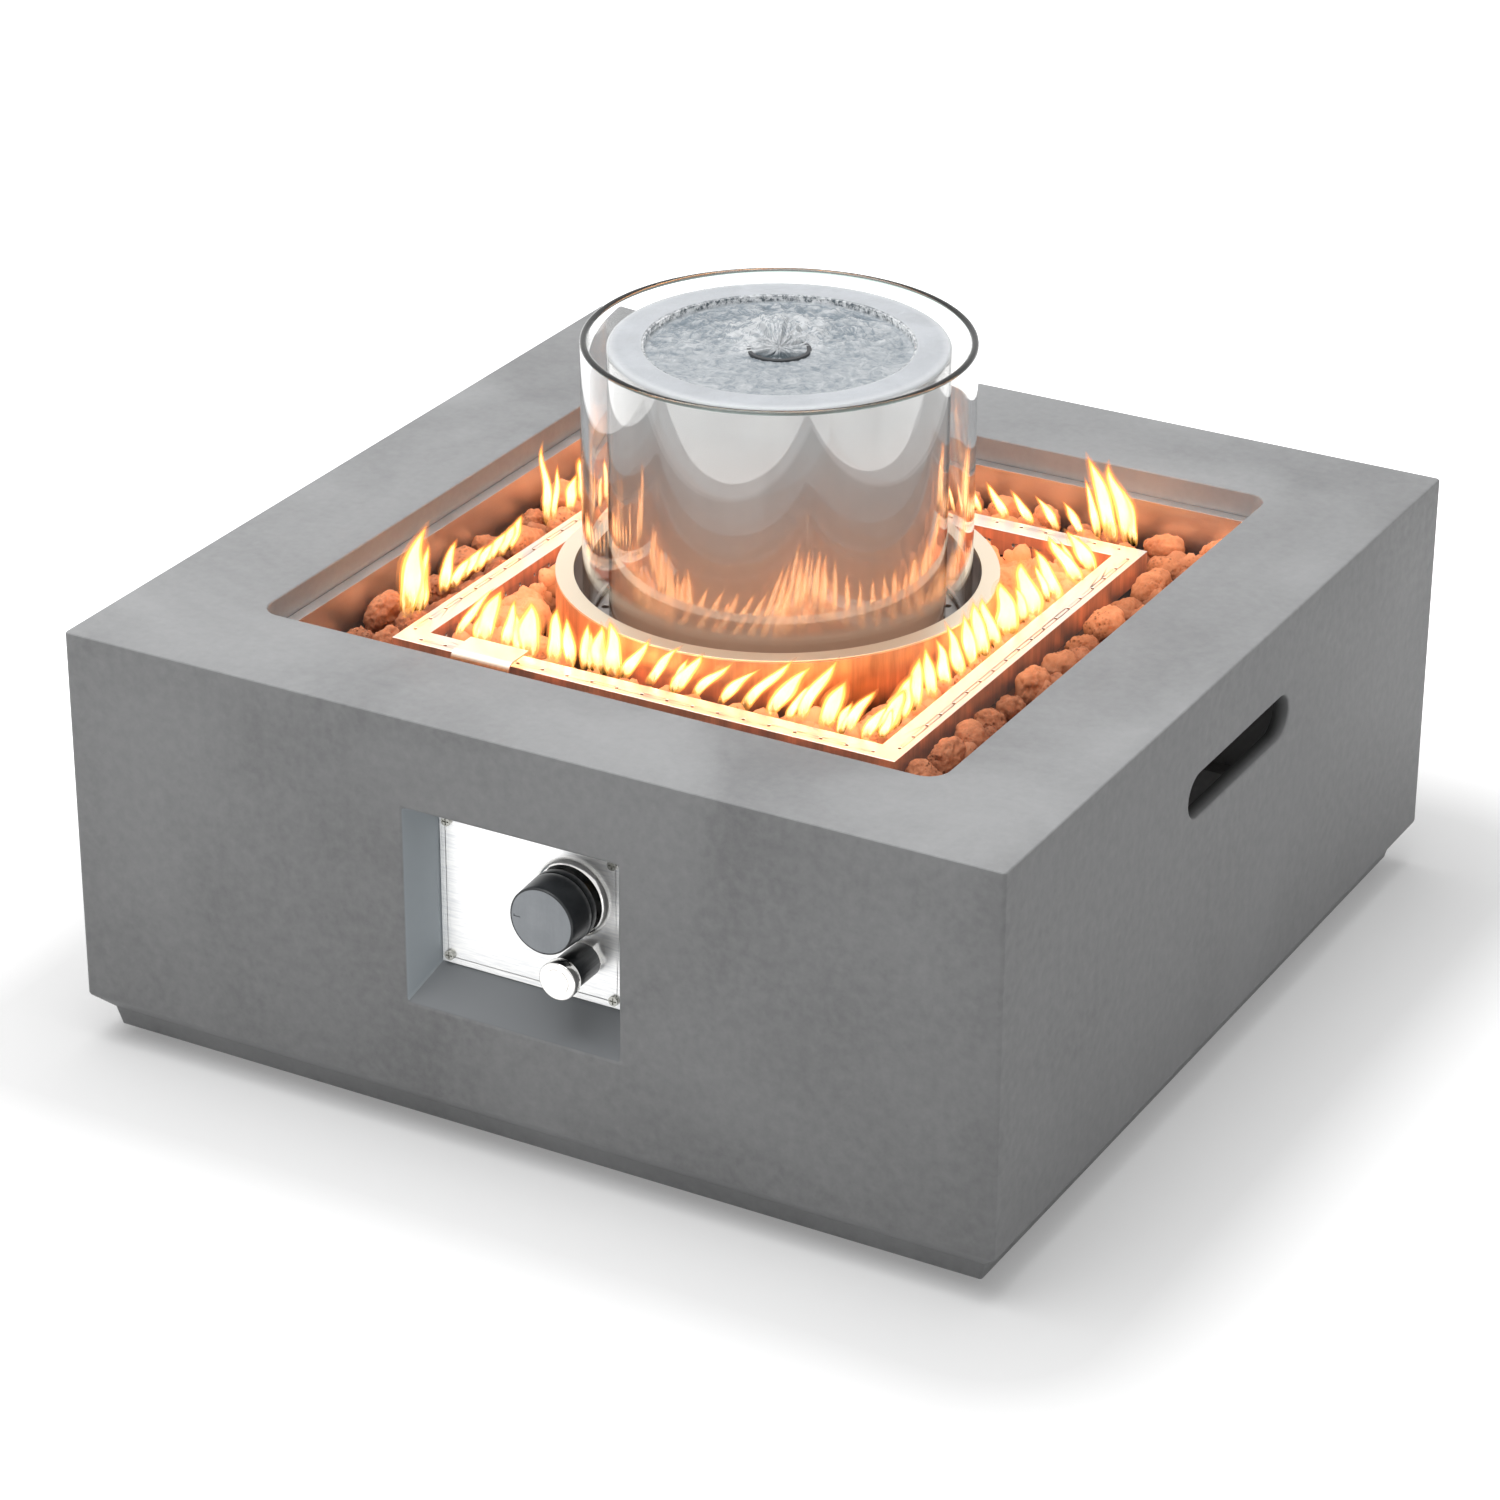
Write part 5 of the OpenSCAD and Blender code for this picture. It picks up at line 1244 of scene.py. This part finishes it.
@dataclass
class LavaRocks:
    """Rounded porous rocks, one in the place of each stone of the frame."""

    nodes: tuple[str, ...] = ("rocks_front", "rocks_back", "rocks_left", "rocks_right", "rocks_corners")
    levels: int = 4
    fill: float = 1.1
    lump: float = 0.0038
    lump_size: float = 0.015
    pore: float = 0.0014
    pore_size: float = 0.0052
    seed: int = 7
    floor: float = 244

    def _joined(self, source: bpy.types.Mesh) -> bmesh.types.BMesh:
        """A copy of a node's mesh with its coinciding corners joined.

        Args:
            source: the node's mesh.

        Returns:
            The copy.
        """
        work = bmesh.new()
        work.from_mesh(source)
        bmesh.ops.remove_doubles(work, verts=work.verts, dist=1e-6)
        return work

    def _rounded(self, source: bmesh.types.BMesh) -> bmesh.types.BMesh:
        """The stones with their faces rounded by subdivision.

        Args:
            source: the plain stones.

        Returns:
            The rounded stones.
        """
        mesh = bpy.data.meshes.new("stones")
        source.to_mesh(mesh)
        made = linked("stones", mesh)
        change = made.modifiers.new("round", "SUBSURF")
        change.levels = change.render_levels = self.levels
        bpy.context.view_layer.update()
        seen = made.evaluated_get(bpy.context.evaluated_depsgraph_get())
        work = bmesh.new()
        work.from_mesh(bpy.data.meshes.new_from_object(seen))
        bpy.data.objects.remove(made)
        return work

    def _box(self, island: list[bmesh.types.BMVert]) -> tuple[Vector, Vector]:
        """The middle and the half size of a stone.

        Args:
            island: the stone's vertices.

        Returns:
            The two vectors, metres.
        """
        low = Vector([min(v.co[i] for v in island) for i in range(3)])
        high = Vector([max(v.co[i] for v in island) for i in range(3)])
        return (low + high) / 2, (high - low) / 2

    def _islands(self, mesh: bmesh.types.BMesh) -> list[list[bmesh.types.BMVert]]:
        """The vertices of each stone.

        Args:
            mesh: stones that don't touch.

        Returns:
            One list for each stone.
        """
        left = set(mesh.verts)
        found = []
        for vert in mesh.verts:
            if vert not in left:
                continue
            island, edge = [], [vert]
            left.discard(vert)
            while edge:
                at = edge.pop()
                island.append(at)
                for link in at.link_edges:
                    other = link.other_vert(at)
                    if other in left:
                        left.discard(other)
                        edge.append(other)
            found.append(island)
        return found

    def _shape(self, island: list[bmesh.types.BMVert], box: tuple[Vector, Vector],
               dice: random.Random) -> None:
        """Swell one stone to fill its box, and give it lumps and pores.

        Args:
            island: the stone's vertices.
            box: the middle and half size to fill.
            dice: the source of chance.
        """
        middle, half = self._box(island)
        swell = Vector([self.fill * box[1][i] / half[i] for i in range(3)])
        shift = Vector([dice.uniform(-9, 9) for _ in range(3)])
        for vert in island:
            out = vert.co - middle
            way = Vector([out[i] / half[i] for i in range(3)]).normalized()
            bend = noise.fractal(vert.co / self.lump_size + shift, 0.75, 2.1, 5)
            cell = noise.voronoi(vert.co / self.pore_size + shift)[0][0]
            push = self.lump * bend - self.pore * max(0.0, 1 - cell / 0.42)
            vert.co = box[0] + Vector([out[i] * swell[i] for i in range(3)]) + way * push
        rise = self.floor * MM - min(v.co.z for v in island)
        for vert in island:
            vert.co.z += rise

    def build(self, palette: Palette) -> None:
        """Make the rocks of every node.

        Args:
            palette: the materials.
        """
        for number, name in enumerate(self.nodes):
            plain = self._joined(frame["nodes"][name].data)
            work = self._rounded(plain)
            boxes = [self._box(island) for island in self._islands(plain)]
            plain.free()
            dice = random.Random(self.seed + number)
            for island in self._islands(work):
                middle = self._box(island)[0]
                box = min(boxes, key=lambda b: (b[0] - middle).length)
                self._shape(island, box, dice)
            made = piece("lava_" + name, stored(name, work), "fire_pit", [palette.slot("lava_rock")], None)
            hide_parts(name)


@dataclass(frozen=True)
class Row:
    """A row of small stones along each side of the burner, in mm."""

    line: float
    spread: float
    half: float
    count: int
    sizes: tuple[float, float]
    layers: int


@dataclass
class LavaCrumbs:
    """Small stones on the bowl's floor, on both sides of the burner's tube."""

    rows: tuple[Row, ...] = (Row(164, 7, 150, 26, (6.0, 9.0), 3), Row(217, 11, 234, 21, (9.0, 14.0), 1))
    rise: float = 9.5
    floor: float = 244
    seed: int = 11
    corner: int = 18
    corner_sizes: Spread = (7, 10.5)
    corner_turn: float = 17
    ring: float = 156
    wall: float = 172

    def _stone(self, mesh: bmesh.types.BMesh, middle: Vector, radius: float, dice: random.Random) -> None:
        """Add one lumpy stone.

        Args:
            mesh: the mesh to add to.
            middle: the stone's middle, mm.
            radius: its mean radius, mm.
            dice: the source of chance.
        """
        shift = Vector([dice.uniform(-9, 9) for _ in range(3)])
        stretch = Vector([dice.uniform(0.8, 1.25) for _ in range(3)])
        made = bmesh.ops.create_icosphere(mesh, subdivisions=3 if radius > 9 else 2, radius=1)
        for vert in made["verts"]:
            way = vert.co.normalized()
            bend = noise.fractal(way * 1.3 + shift, 0.75, 2.1, 5)
            cell = noise.voronoi(way * 3.2 + shift)[0][0]
            reach = radius * (1 + 0.3 * bend - 0.14 * max(0.0, 1 - cell / 0.5))
            vert.co = (middle + Vector([way[i] * stretch[i] for i in range(3)]) * reach) * MM

    def build(self, palette: Palette) -> None:
        """Heap the stones in their rows along the four sides.

        Args:
            palette: the materials.
        """
        dice = random.Random(self.seed)
        mesh = bmesh.new()
        for row in self.rows:
            for quarter in range(4):
                turn = Matrix.Rotation(quarter * FULL_TURN / 4, 3, "Z")
                for k in range(row.count):
                    along = row.half * (2 * (k + dice.uniform(0.2, 0.8)) / row.count - 1)
                    away = row.line + dice.uniform(-row.spread, row.spread) * min(1.0, abs(along) / 90)
                    for layer in range(row.layers):
                        radius = dice.uniform(*row.sizes) * (1 - 0.12 * layer)
                        z = self.floor + radius * 0.9 + layer * self.rise
                        middle = Vector((along + 5 * layer, -away, z))
                        self._stone(mesh, turn @ middle, radius, dice)
        for quarter in range(4):
            turn = Matrix.Rotation((quarter + 0.5) * FULL_TURN / 4, 3, "Z")
            for _ in range(self.corner):
                radius = dice.uniform(*self.corner_sizes)
                angle = math.radians(dice.uniform(-self.corner_turn, self.corner_turn))
                far = (self.wall - radius) / math.cos(FULL_TURN / 8 - abs(angle))
                near = self.ring + radius
                out = near + max(0.0, far - near) * dice.random()
                z = self.floor + dice.choice((0.9, 2.1)) * radius
                middle = Vector((out * math.cos(angle), out * math.sin(angle), z))
                self._stone(mesh, turn @ middle, radius, dice)
        data = stored("lava_crumbs", mesh)
        made = piece("lava_crumbs", data, "fire_pit", [palette.slot("lava_rock")], None)


# Flames


class Side(Enum):
    """The side of the burner that a row of flames burns on, and its line in mm."""

    FRONT = (1, -166.0)
    RIGHT = (0, 166.0)
    BACK = (1, 204.0)
    LEFT = (0, -204.0)


@dataclass
class Flames:
    """Rows of flames: each (place along the row, lean in x, height, width) in mm."""

    root: float = 274
    tube_top: float = 284
    forked: float = 11
    sides: int = 14
    steps: int = 18
    seed: int = 3
    rows: dict[Side, tuple[tuple[float, float, float, float], ...]] = field(default_factory=lambda: {
        Side.FRONT: (
            (-152, 25, 35, 7), (-135, 13, 36, 14), (-117, 7, 30, 10), (-100, 1, 31, 17), (-80, 3, 32, 11),
            (-68, -3, 27, 10), (-56, 3, 26, 9), (-45, 1, 28, 12), (-34, -1, 32, 13), (-22, 17, 25, 10),
            (-2, 19, 25, 9), (18, 18, 24, 12), (34, 23, 22, 9), (54, 22, 22, 9), (74, 30, 35, 10),
            (92, 25, 34, 13), (113, 23, 43, 11), (130, 12, 30, 14), (146, 18, 28, 10), (160, 14, 20, 9)),
        Side.RIGHT: (
            (-152, 13, 26, 14), (-134, 9, 29, 14), (-112, 2, 32, 11), (-90, -5, 27, 10), (-70, -6, 25, 10),
            (-50, -9, 27, 10), (-32, -6, 29, 11), (-16, -7, 31, 13), (2, -10, 26, 11), (23, -4, 31, 18),
            (59, -8, 31, 18), (95, -15, 25, 13), (126, -20, 22, 14), (150, -16, 18, 14)),
        Side.BACK: (
            (24, -2, 12, 6), (36, -4, 11, 6), (52, -9, 13, 6), (72, -13, 15, 8), (92, -13, 13, 8),
            (113, -13, 13, 8), (133, -12, 13, 8), (156, -16, 52, 13), (170, -14, 50, 14), (-165, 8, 30, 12),
            (-142, 5, 24, 10), (-120, -3, 22, 9), (-98, 4, 26, 10), (-76, -2, 20, 9), (-52, 5, 24, 10),
            (-28, -4, 21, 9), (-6, 3, 17, 8)),
        Side.LEFT: (
            (-153, 13, 62, 17), (-139, 6, 26, 10), (-108, 9, 34, 9), (-94, 12, 16, 9), (-80, 15, 20, 9),
            (-64, 13, 16, 9), (-48, 14, 19, 9), (-32, 11, 18, 10), (-22, 10, 20, 10), (27, -2, 54, 7),
            (38, 4, 34, 5), (60, 4, 20, 9), (79, -3, 24, 10), (98, 5, 19, 9), (119, -4, 26, 11),
            (141, 3, 22, 10), (162, -6, 28, 12))})

    def _spine(self, foot: Vector, lean: Vector, height: float, dice: random.Random
               ) -> Callable[[float], Vector]:
        """A curve from the flame's foot to its tip, as a function of 0 to 1.

        Args:
            foot: its lowest point, mm.
            lean: how far its tip moves sideways, mm.
            height: its height, mm.
            dice: the source of chance.

        Returns:
            The curve.
        """
        phase, sway = dice.uniform(0, FULL_TURN), dice.uniform(0.02, 0.06) * height
        turn = dice.uniform(0, FULL_TURN)
        side = Vector((math.cos(turn), math.sin(turn), 0))

        def at(t: float) -> Vector:
            """The point at a share of the height."""
            bend = sway * math.sin(phase + 1.2 * FULL_TURN * t) * t
            return foot + lean * t ** 1.35 + Vector((0, 0, height * t)) + side * bend

        return at

    def _tongue(self, mesh: bmesh.types.BMesh, spine: Callable[[float], Vector], width: float,
                ends: Spread, layer: bmesh.types.BMLayerItem, dice: random.Random) -> None:
        """Add one closed teardrop along a spine between two shares of its length.

        Args:
            mesh: the mesh to add to.
            spine: the flame's curve.
            width: its width at its widest, mm.
            ends: the two shares.
            layer: the UV layer that says how far up a face is.
            dice: the source of chance.
        """
        skew = dice.uniform(0.62, 0.9)
        turn = dice.uniform(0, FULL_TURN)
        rows = []
        for i in range(self.steps + 1):
            t = i / self.steps
            u = ends[0] + (ends[1] - ends[0]) * t
            swell = 1.47 * (0.35 + 1.35 * t ** 0.7) * (1 - t) ** 0.85
            swell *= 1 + 0.1 * math.sin(8 * t + turn)
            middle = spine(u)
            row = []
            for k in range(self.sides):
                a = FULL_TURN * k / self.sides
                r = width / 2 * max(swell, 0.02)
                row.append(mesh.verts.new((middle + Vector((
                    r * math.cos(a), skew * r * math.sin(a), 0))) * MM))
            rows.append((u, row))
        for (u0, low), (u1, high) in zip(rows, rows[1:]):
            for k in range(self.sides):
                n = (k + 1) % self.sides
                face = mesh.faces.new((low[k], low[n], high[n], high[k]))
                for loop, (u, v) in zip(face.loops, ((k, u0), (k + 1, u0), (k + 1, u1), (k, u1))):
                    loop[layer].uv = (u / self.sides, v)
        for u, row in (rows[0], rows[-1]):
            face = mesh.faces.new(row if u > rows[0][0] else list(reversed(row)))
            for loop in face.loops:
                loop[layer].uv = (0, u)

    def build(self, palette: Palette) -> None:
        """Make the nested layers of every flame.

        Args:
            palette: the materials.
        """
        layers = (("flame_halos", FLAME_HALO, 1.25, (0.0, 1.06)),
                  ("flame_borders", FLAME_OUTER, 1.0, (0.0, 1.0)),
                  ("flame_bodies", FLAME_MIDDLE, 0.86, (0.02, 0.97)),
                  ("flame_hearts", FLAME_CORE, 0.64, (0.04, 0.9)))
        for name, finish, share, ends in layers:
            dice = random.Random(self.seed)
            mesh = bmesh.new()
            layer = mesh.loops.layers.uv.new("rise")
            for side, row in self.rows.items():
                axis, line = side.value
                for along, lean, height, width in row:
                    foot = Vector((along, line, self.root) if axis else (line, along, self.root))
                    extra = self.tube_top - self.root
                    reach = Vector((lean, 0, 0))
                    if width > self.forked:
                        step = Vector((1, 0, 0) if axis else (0, 1, 0)) * dice.choice((-0.55, 0.55)) * width
                        lick = self._spine(foot + step, reach * 0.7,
                                           dice.uniform(0.5, 0.75) * height + extra, dice)
                        self._tongue(mesh, lick, 0.55 * width * share, ends, layer, dice)
                    spine = self._spine(foot - reach * 0.25, reach * 1.25, height + extra, dice)
                    self._tongue(mesh, spine, 1.08 * width * share, ends, layer, dice)
            made = piece(name, stored(name, mesh), "fire_pit", [palette.get(finish)], None)
            made.visible_shadow = False


# Water and glass


@dataclass
class GlassColumn:
    """The clear cylinder, with rounded and polished edges."""

    outer: float = 135.2
    inner: float = 130.2
    low: float = 262.3
    high: float = 469.4
    edge: float = 2.6
    soft: float = 0.8

    def build(self, palette: Palette) -> None:
        """Turn the glass and dress it, with its top edge in a deeper tint.

        Args:
            palette: the materials.
        """
        half = (self.outer - self.inner) / 2
        middle = self.inner + half
        soft = self.soft
        profile = [(self.inner + soft, self.low), (self.outer - soft, self.low),
                   (self.outer, self.low + soft), (self.outer, self.high - self.edge)]
        for k in range(9):
            a = FULL_TURN / 2 * k / 8
            profile.append((middle + half * math.cos(a), self.high - half + half * math.sin(a)))
        profile += [(self.inner, self.high - self.edge), (self.inner, self.low + soft)]
        mesh = lathed("glass_column", profile, 192)
        materials = [palette.slot("clear_glass"), palette.get(GLASS_EDGE)]
        made = piece("glass_column", mesh, "glass", materials, 40)
        for face in mesh.polygons:
            face.material_index = int(face.center.z > (self.high - self.edge + 0.1) * MM)
        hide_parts("glass_cylinder")


@dataclass
class DrumShell:
    """The drum's sleeve, turned smooth so that it mirrors the flames."""

    outer: float = 116.2
    sheet: float = 1.5
    sides: int = 256

    def build(self, palette: Palette) -> None:
        """Turn the sleeve between the node's own heights.

        Args:
            palette: the materials.
        """
        low, high = (corner[2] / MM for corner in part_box("drum_sleeve"))
        inner = self.outer - self.sheet
        profile = [(self.outer, low), (self.outer, high), (inner, high), (inner, low)]
        mesh = lathed("drum_shell", profile, self.sides)
        made = piece("drum_shell", mesh, "fire_pit", [palette.slot("drum_steel")])
        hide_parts("drum_sleeve")


@dataclass
class WaterColumn:
    """The water that wells up in the dish, crosses the weir and falls down the drum."""

    drum: float = 116.2
    weir: float = 92
    dish: float = 456
    top: float = 464
    low: float = 262.2
    level: float = 459.3
    most: float = 469.2
    sides: int = 360
    thrown: tuple[float, float] = (-0.486, 0.874)
    gap: float = 0.08

    def _surface(self, x: float, y: float) -> float:
        """The churned water's height in the dish, highest where the nozzle throws it.

        Args:
            x: place in x, mm.
            y: place in y, mm.

        Returns:
            The height, mm.
        """
        far = self.thrown[0] * x + self.thrown[1] * y
        side = self.thrown[1] * x - self.thrown[0] * y
        r, turn = math.hypot(x, y), math.atan2(y, x)
        ray = noise.fractal(Vector((5 * math.cos(turn), 5 * math.sin(turn), r / 26)), 0.8, 2.0, 4)
        wave = noise.fractal(Vector((x / 9, y / 9, 2.1)), 0.7, 2.0, 4)
        mound = math.exp(-((side + 2) / 24) ** 2 - ((far - 27) / 26) ** 2)
        mouth = math.exp(-(side / 19) ** 6 - ((far - 1) / 15) ** 6)
        busy = 0.28 + 1.0 / (1 + math.exp(-(far - 6) / 9))
        edge = min(1.0, max(0.0, (self.weir - 1 - r) / 6))
        z = self.level + 8.4 * mound * (1 + 0.6 * ray) - 2.6 * mouth * (1 - mound) ** 2
        return min(z + edge * busy * (1.3 * ray + 1.1 * wave), self.most)

    def _film(self, angle: float, z: float) -> float:
        """The falling film's thickness, mm.

        Args:
            angle: place round the drum, radians.
            z: height, mm.

        Returns:
            The thickness, mm.
        """
        fold = noise.noise(Vector((6 * math.cos(angle), 6 * math.sin(angle), z / 160)))
        streak = noise.noise(Vector((26 * math.cos(angle), 26 * math.sin(angle), z / 45)))
        return 0.9 + 0.2 * fold + 0.012 * streak

    def build(self, palette: Palette) -> None:
        """Make the water as one closed sheet.

        Args:
            palette: the materials.
        """
        rings = []
        angles = [FULL_TURN * k / self.sides for k in range(self.sides)]
        gap, top = self.gap, self.top

        def ring(r: float, z: Callable[[float, float], float], grow: Optional[Callable] = None) -> None:
            """Add one ring at a radius, with its height and growth from the angle.

            Args:
                r: its radius, mm.
                z: its height at a place, mm.
                grow: what its radius gains at an angle, mm.
            """
            points = []
            for a in angles:
                q = r + (grow(a) if grow else 0)
                x, y = q * math.cos(a), q * math.sin(a)
                points.append(Vector((x, y, z(x, y))) * MM)
            rings.append(points)

        for k in range(1, 92):
            ring(float(k), self._surface)
        for k in range(1, 5):
            rise = self.level + (top + 0.6 - self.level) * k / 4
            ring(self.weir - 0.6 + 0.5 * k,
                 lambda x, y, k=k, rise=rise: rise + 0.3 * noise.noise(Vector((x / 2, y / 2, k))))
        for k in range(1, 12):
            ring(self.weir + k * 2.0,
                 lambda x, y: top + 0.75 + 0.35 * noise.noise(Vector((x / 6, y / 6, 1.7))))
        for k in range(1, 7):
            bend = FULL_TURN / 4 * k / 6
            ring(self.drum - 2, lambda x, y, b=bend: top - 2 + 2.75 * math.cos(b),
                 lambda a, b=bend: (2 + self._film(a, top)) * math.sin(b))
        for k in range(1, 67):
            z = top - 2 - (top - 2 - self.low) * k / 66
            ring(self.drum, lambda x, y, z=z: z, lambda a, z=z: self._film(a, z))
        drum, weir = self.drum + gap, self.weir - gap
        for r, z in ((drum, self.low), (drum, self.low + 0.3), (drum, top - 0.8), (drum, top - 0.4),
                     (self.drum - 0.4, top + gap), (self.weir + 0.2, top + gap), (weir, top - 0.3),
                     (weir, self.dish + gap), (2, self.dish + gap)):
            ring(r, lambda x, y, z=z: z)
        mesh = lofted("water_sheet", rings)
        materials = [palette.get(WELLING_WATER), palette.get(FALLING_WATER)]
        made = piece("water_sheet", mesh, "fire_pit", materials, None)
        for face in mesh.polygons:
            low, outside = face.center.z < (top - 3) * MM, face.center.xy.length > (self.weir + 4) * MM
            face.material_index = int(low and outside)
        log.info("%s spans %s", made.name, [round(v, 4) for v in made.dimensions])


# Electrode shield


@dataclass
class ElectrodeHood:
    """The folded hood over the electrode, with rounded bends and two legs."""

    x: tuple[float, float] = (-137, -91)
    y: tuple[float, float] = (-206.2, -181)
    top: float = 286.2
    skirt: float = 273
    foot: float = 244
    sheet: float = 1.2
    bend: float = 5
    leg: float = 5

    def _strip(self, name: str, path: Sequence[tuple[float, float]], x0: float,
               x1: float) -> bpy.types.Mesh:
        """A sheet that follows a path of (y, z) points, between two x values.

        Args:
            name: the mesh's name.
            path: the (y, z) points, mm.
            x0: its left end, mm.
            x1: its right end, mm.

        Returns:
            The sheet's mesh.
        """
        points = [Vector((0, y, z)) for y, z in path]
        inner = []
        for i, p in enumerate(points):
            along = (points[min(i + 1, len(points) - 1)] - points[max(i - 1, 0)]).normalized()
            inner.append(p + Vector((0, along.z, -along.y)) * self.sheet)
        outline = points + list(reversed(inner))
        return lofted(name, [[Vector((x, p.y, p.z)) * MM for p in outline] for x in (x0, x1)])

    def build(self, palette: Palette) -> None:
        """Fold the hood and dress it.

        Args:
            palette: the materials.
        """
        y0, y1 = self.y
        path = [(y1, self.top)]
        for k in range(9):
            a = FULL_TURN / 4 * k / 8
            path.append((y0 + self.bend - self.bend * math.sin(a),
                         self.top - self.bend + self.bend * math.cos(a)))
        path.append((y0, self.skirt))
        mesh = self._strip("electrode_hood", path, *self.x)
        for x in (self.x[0], self.x[1] - self.leg):
            leg = self._strip("leg", [(y0, self.skirt + 2), (y0, self.foot)], x, x + self.leg)
            work = bmesh.new()
            work.from_mesh(mesh)
            work.from_mesh(leg)
            work.to_mesh(mesh)
            work.free()
        made = piece("electrode_hood", mesh, "fire_pit", [palette.slot("heat_steel")], 40)
        change = made.modifiers.new("soft_edges", "BEVEL")
        change.width, change.segments, change.limit_method = 0.25 * MM, 2, "ANGLE"
        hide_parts("electrode_shield")


# Carried-over nodes


@dataclass
class CarriedParts:
    """The frame's own nodes, given their finishes and softened edges, in mm."""

    edges: dict[str, float] = field(default_factory=lambda: {
        "foot_pads": 0.6, "foot_screws": 0.2, "fire_bowl": 0.35, "burner_frame": 0.5,
        "burner_brackets": 0.4, "control_panel": 0.3, "panel_screws": 0.25, "knob_bezel": 0.3,
        "control_knob": 0.4, "igniter_barrel": 0.3, "igniter_nut": 0.3, "igniter_collar": 0.35,
        "igniter_button": 0.35, "gas_inlet": 0.25, "gas_inlet_nut": 0.4, "service_plate": 0.3,
        "service_screws": 0.2, "power_socket": 0.4, "power_socket_nut": 0.4, "ring_wall": 0.3,
        "water_basin": 0.35, "deck_plate": 0.3, "drum_cap": 0.35, "fountain_nozzle": 0.4,
        "gas_valve": 0.8, "water_pump": 0.6, "inlet_locknut": 0.4, "gas_orifice": 0.4, "air_mixer": 0.3})

    def build(self, palette: Palette) -> None:
        """Give each node the finish of its slot, and soften its edges.

        Args:
            palette: the materials.
        """
        for row in frame["record"]["subparts"]:
            node = frame["nodes"][row["node"]]
            for k in range(len(node.material_slots)):
                node.material_slots[k].material = palette.slot(row["material_slot"])
            width = self.edges.get(row["node"])
            if width:
                node.modifiers.new("joined", "WELD").merge_threshold = 1e-6
                change = node.modifiers.new("soft_edges", "BEVEL")
                change.width, change.segments = width * MM, 2
                change.limit_method, change.angle_limit = "ANGLE", math.radians(40)
                change.harden_normals = True


def main() -> None:
    """Build the scene in order."""
    logging.basicConfig(level=logging.INFO, format="%(name)s: %(message)s")
    Studio().build()
    palette = Palette()
    CarriedParts().build(palette)
    ConcreteBody().build(palette)
    LavaRocks().build(palette)
    LavaCrumbs().build(palette)
    GlassColumn().build(palette)
    DrumShell().build(palette)
    WaterColumn().build(palette)
    ElectrodeHood().build(palette)
    Flames().build(palette)
    bpy.context.view_layer.update()


if __name__ == "__main__":
    main()
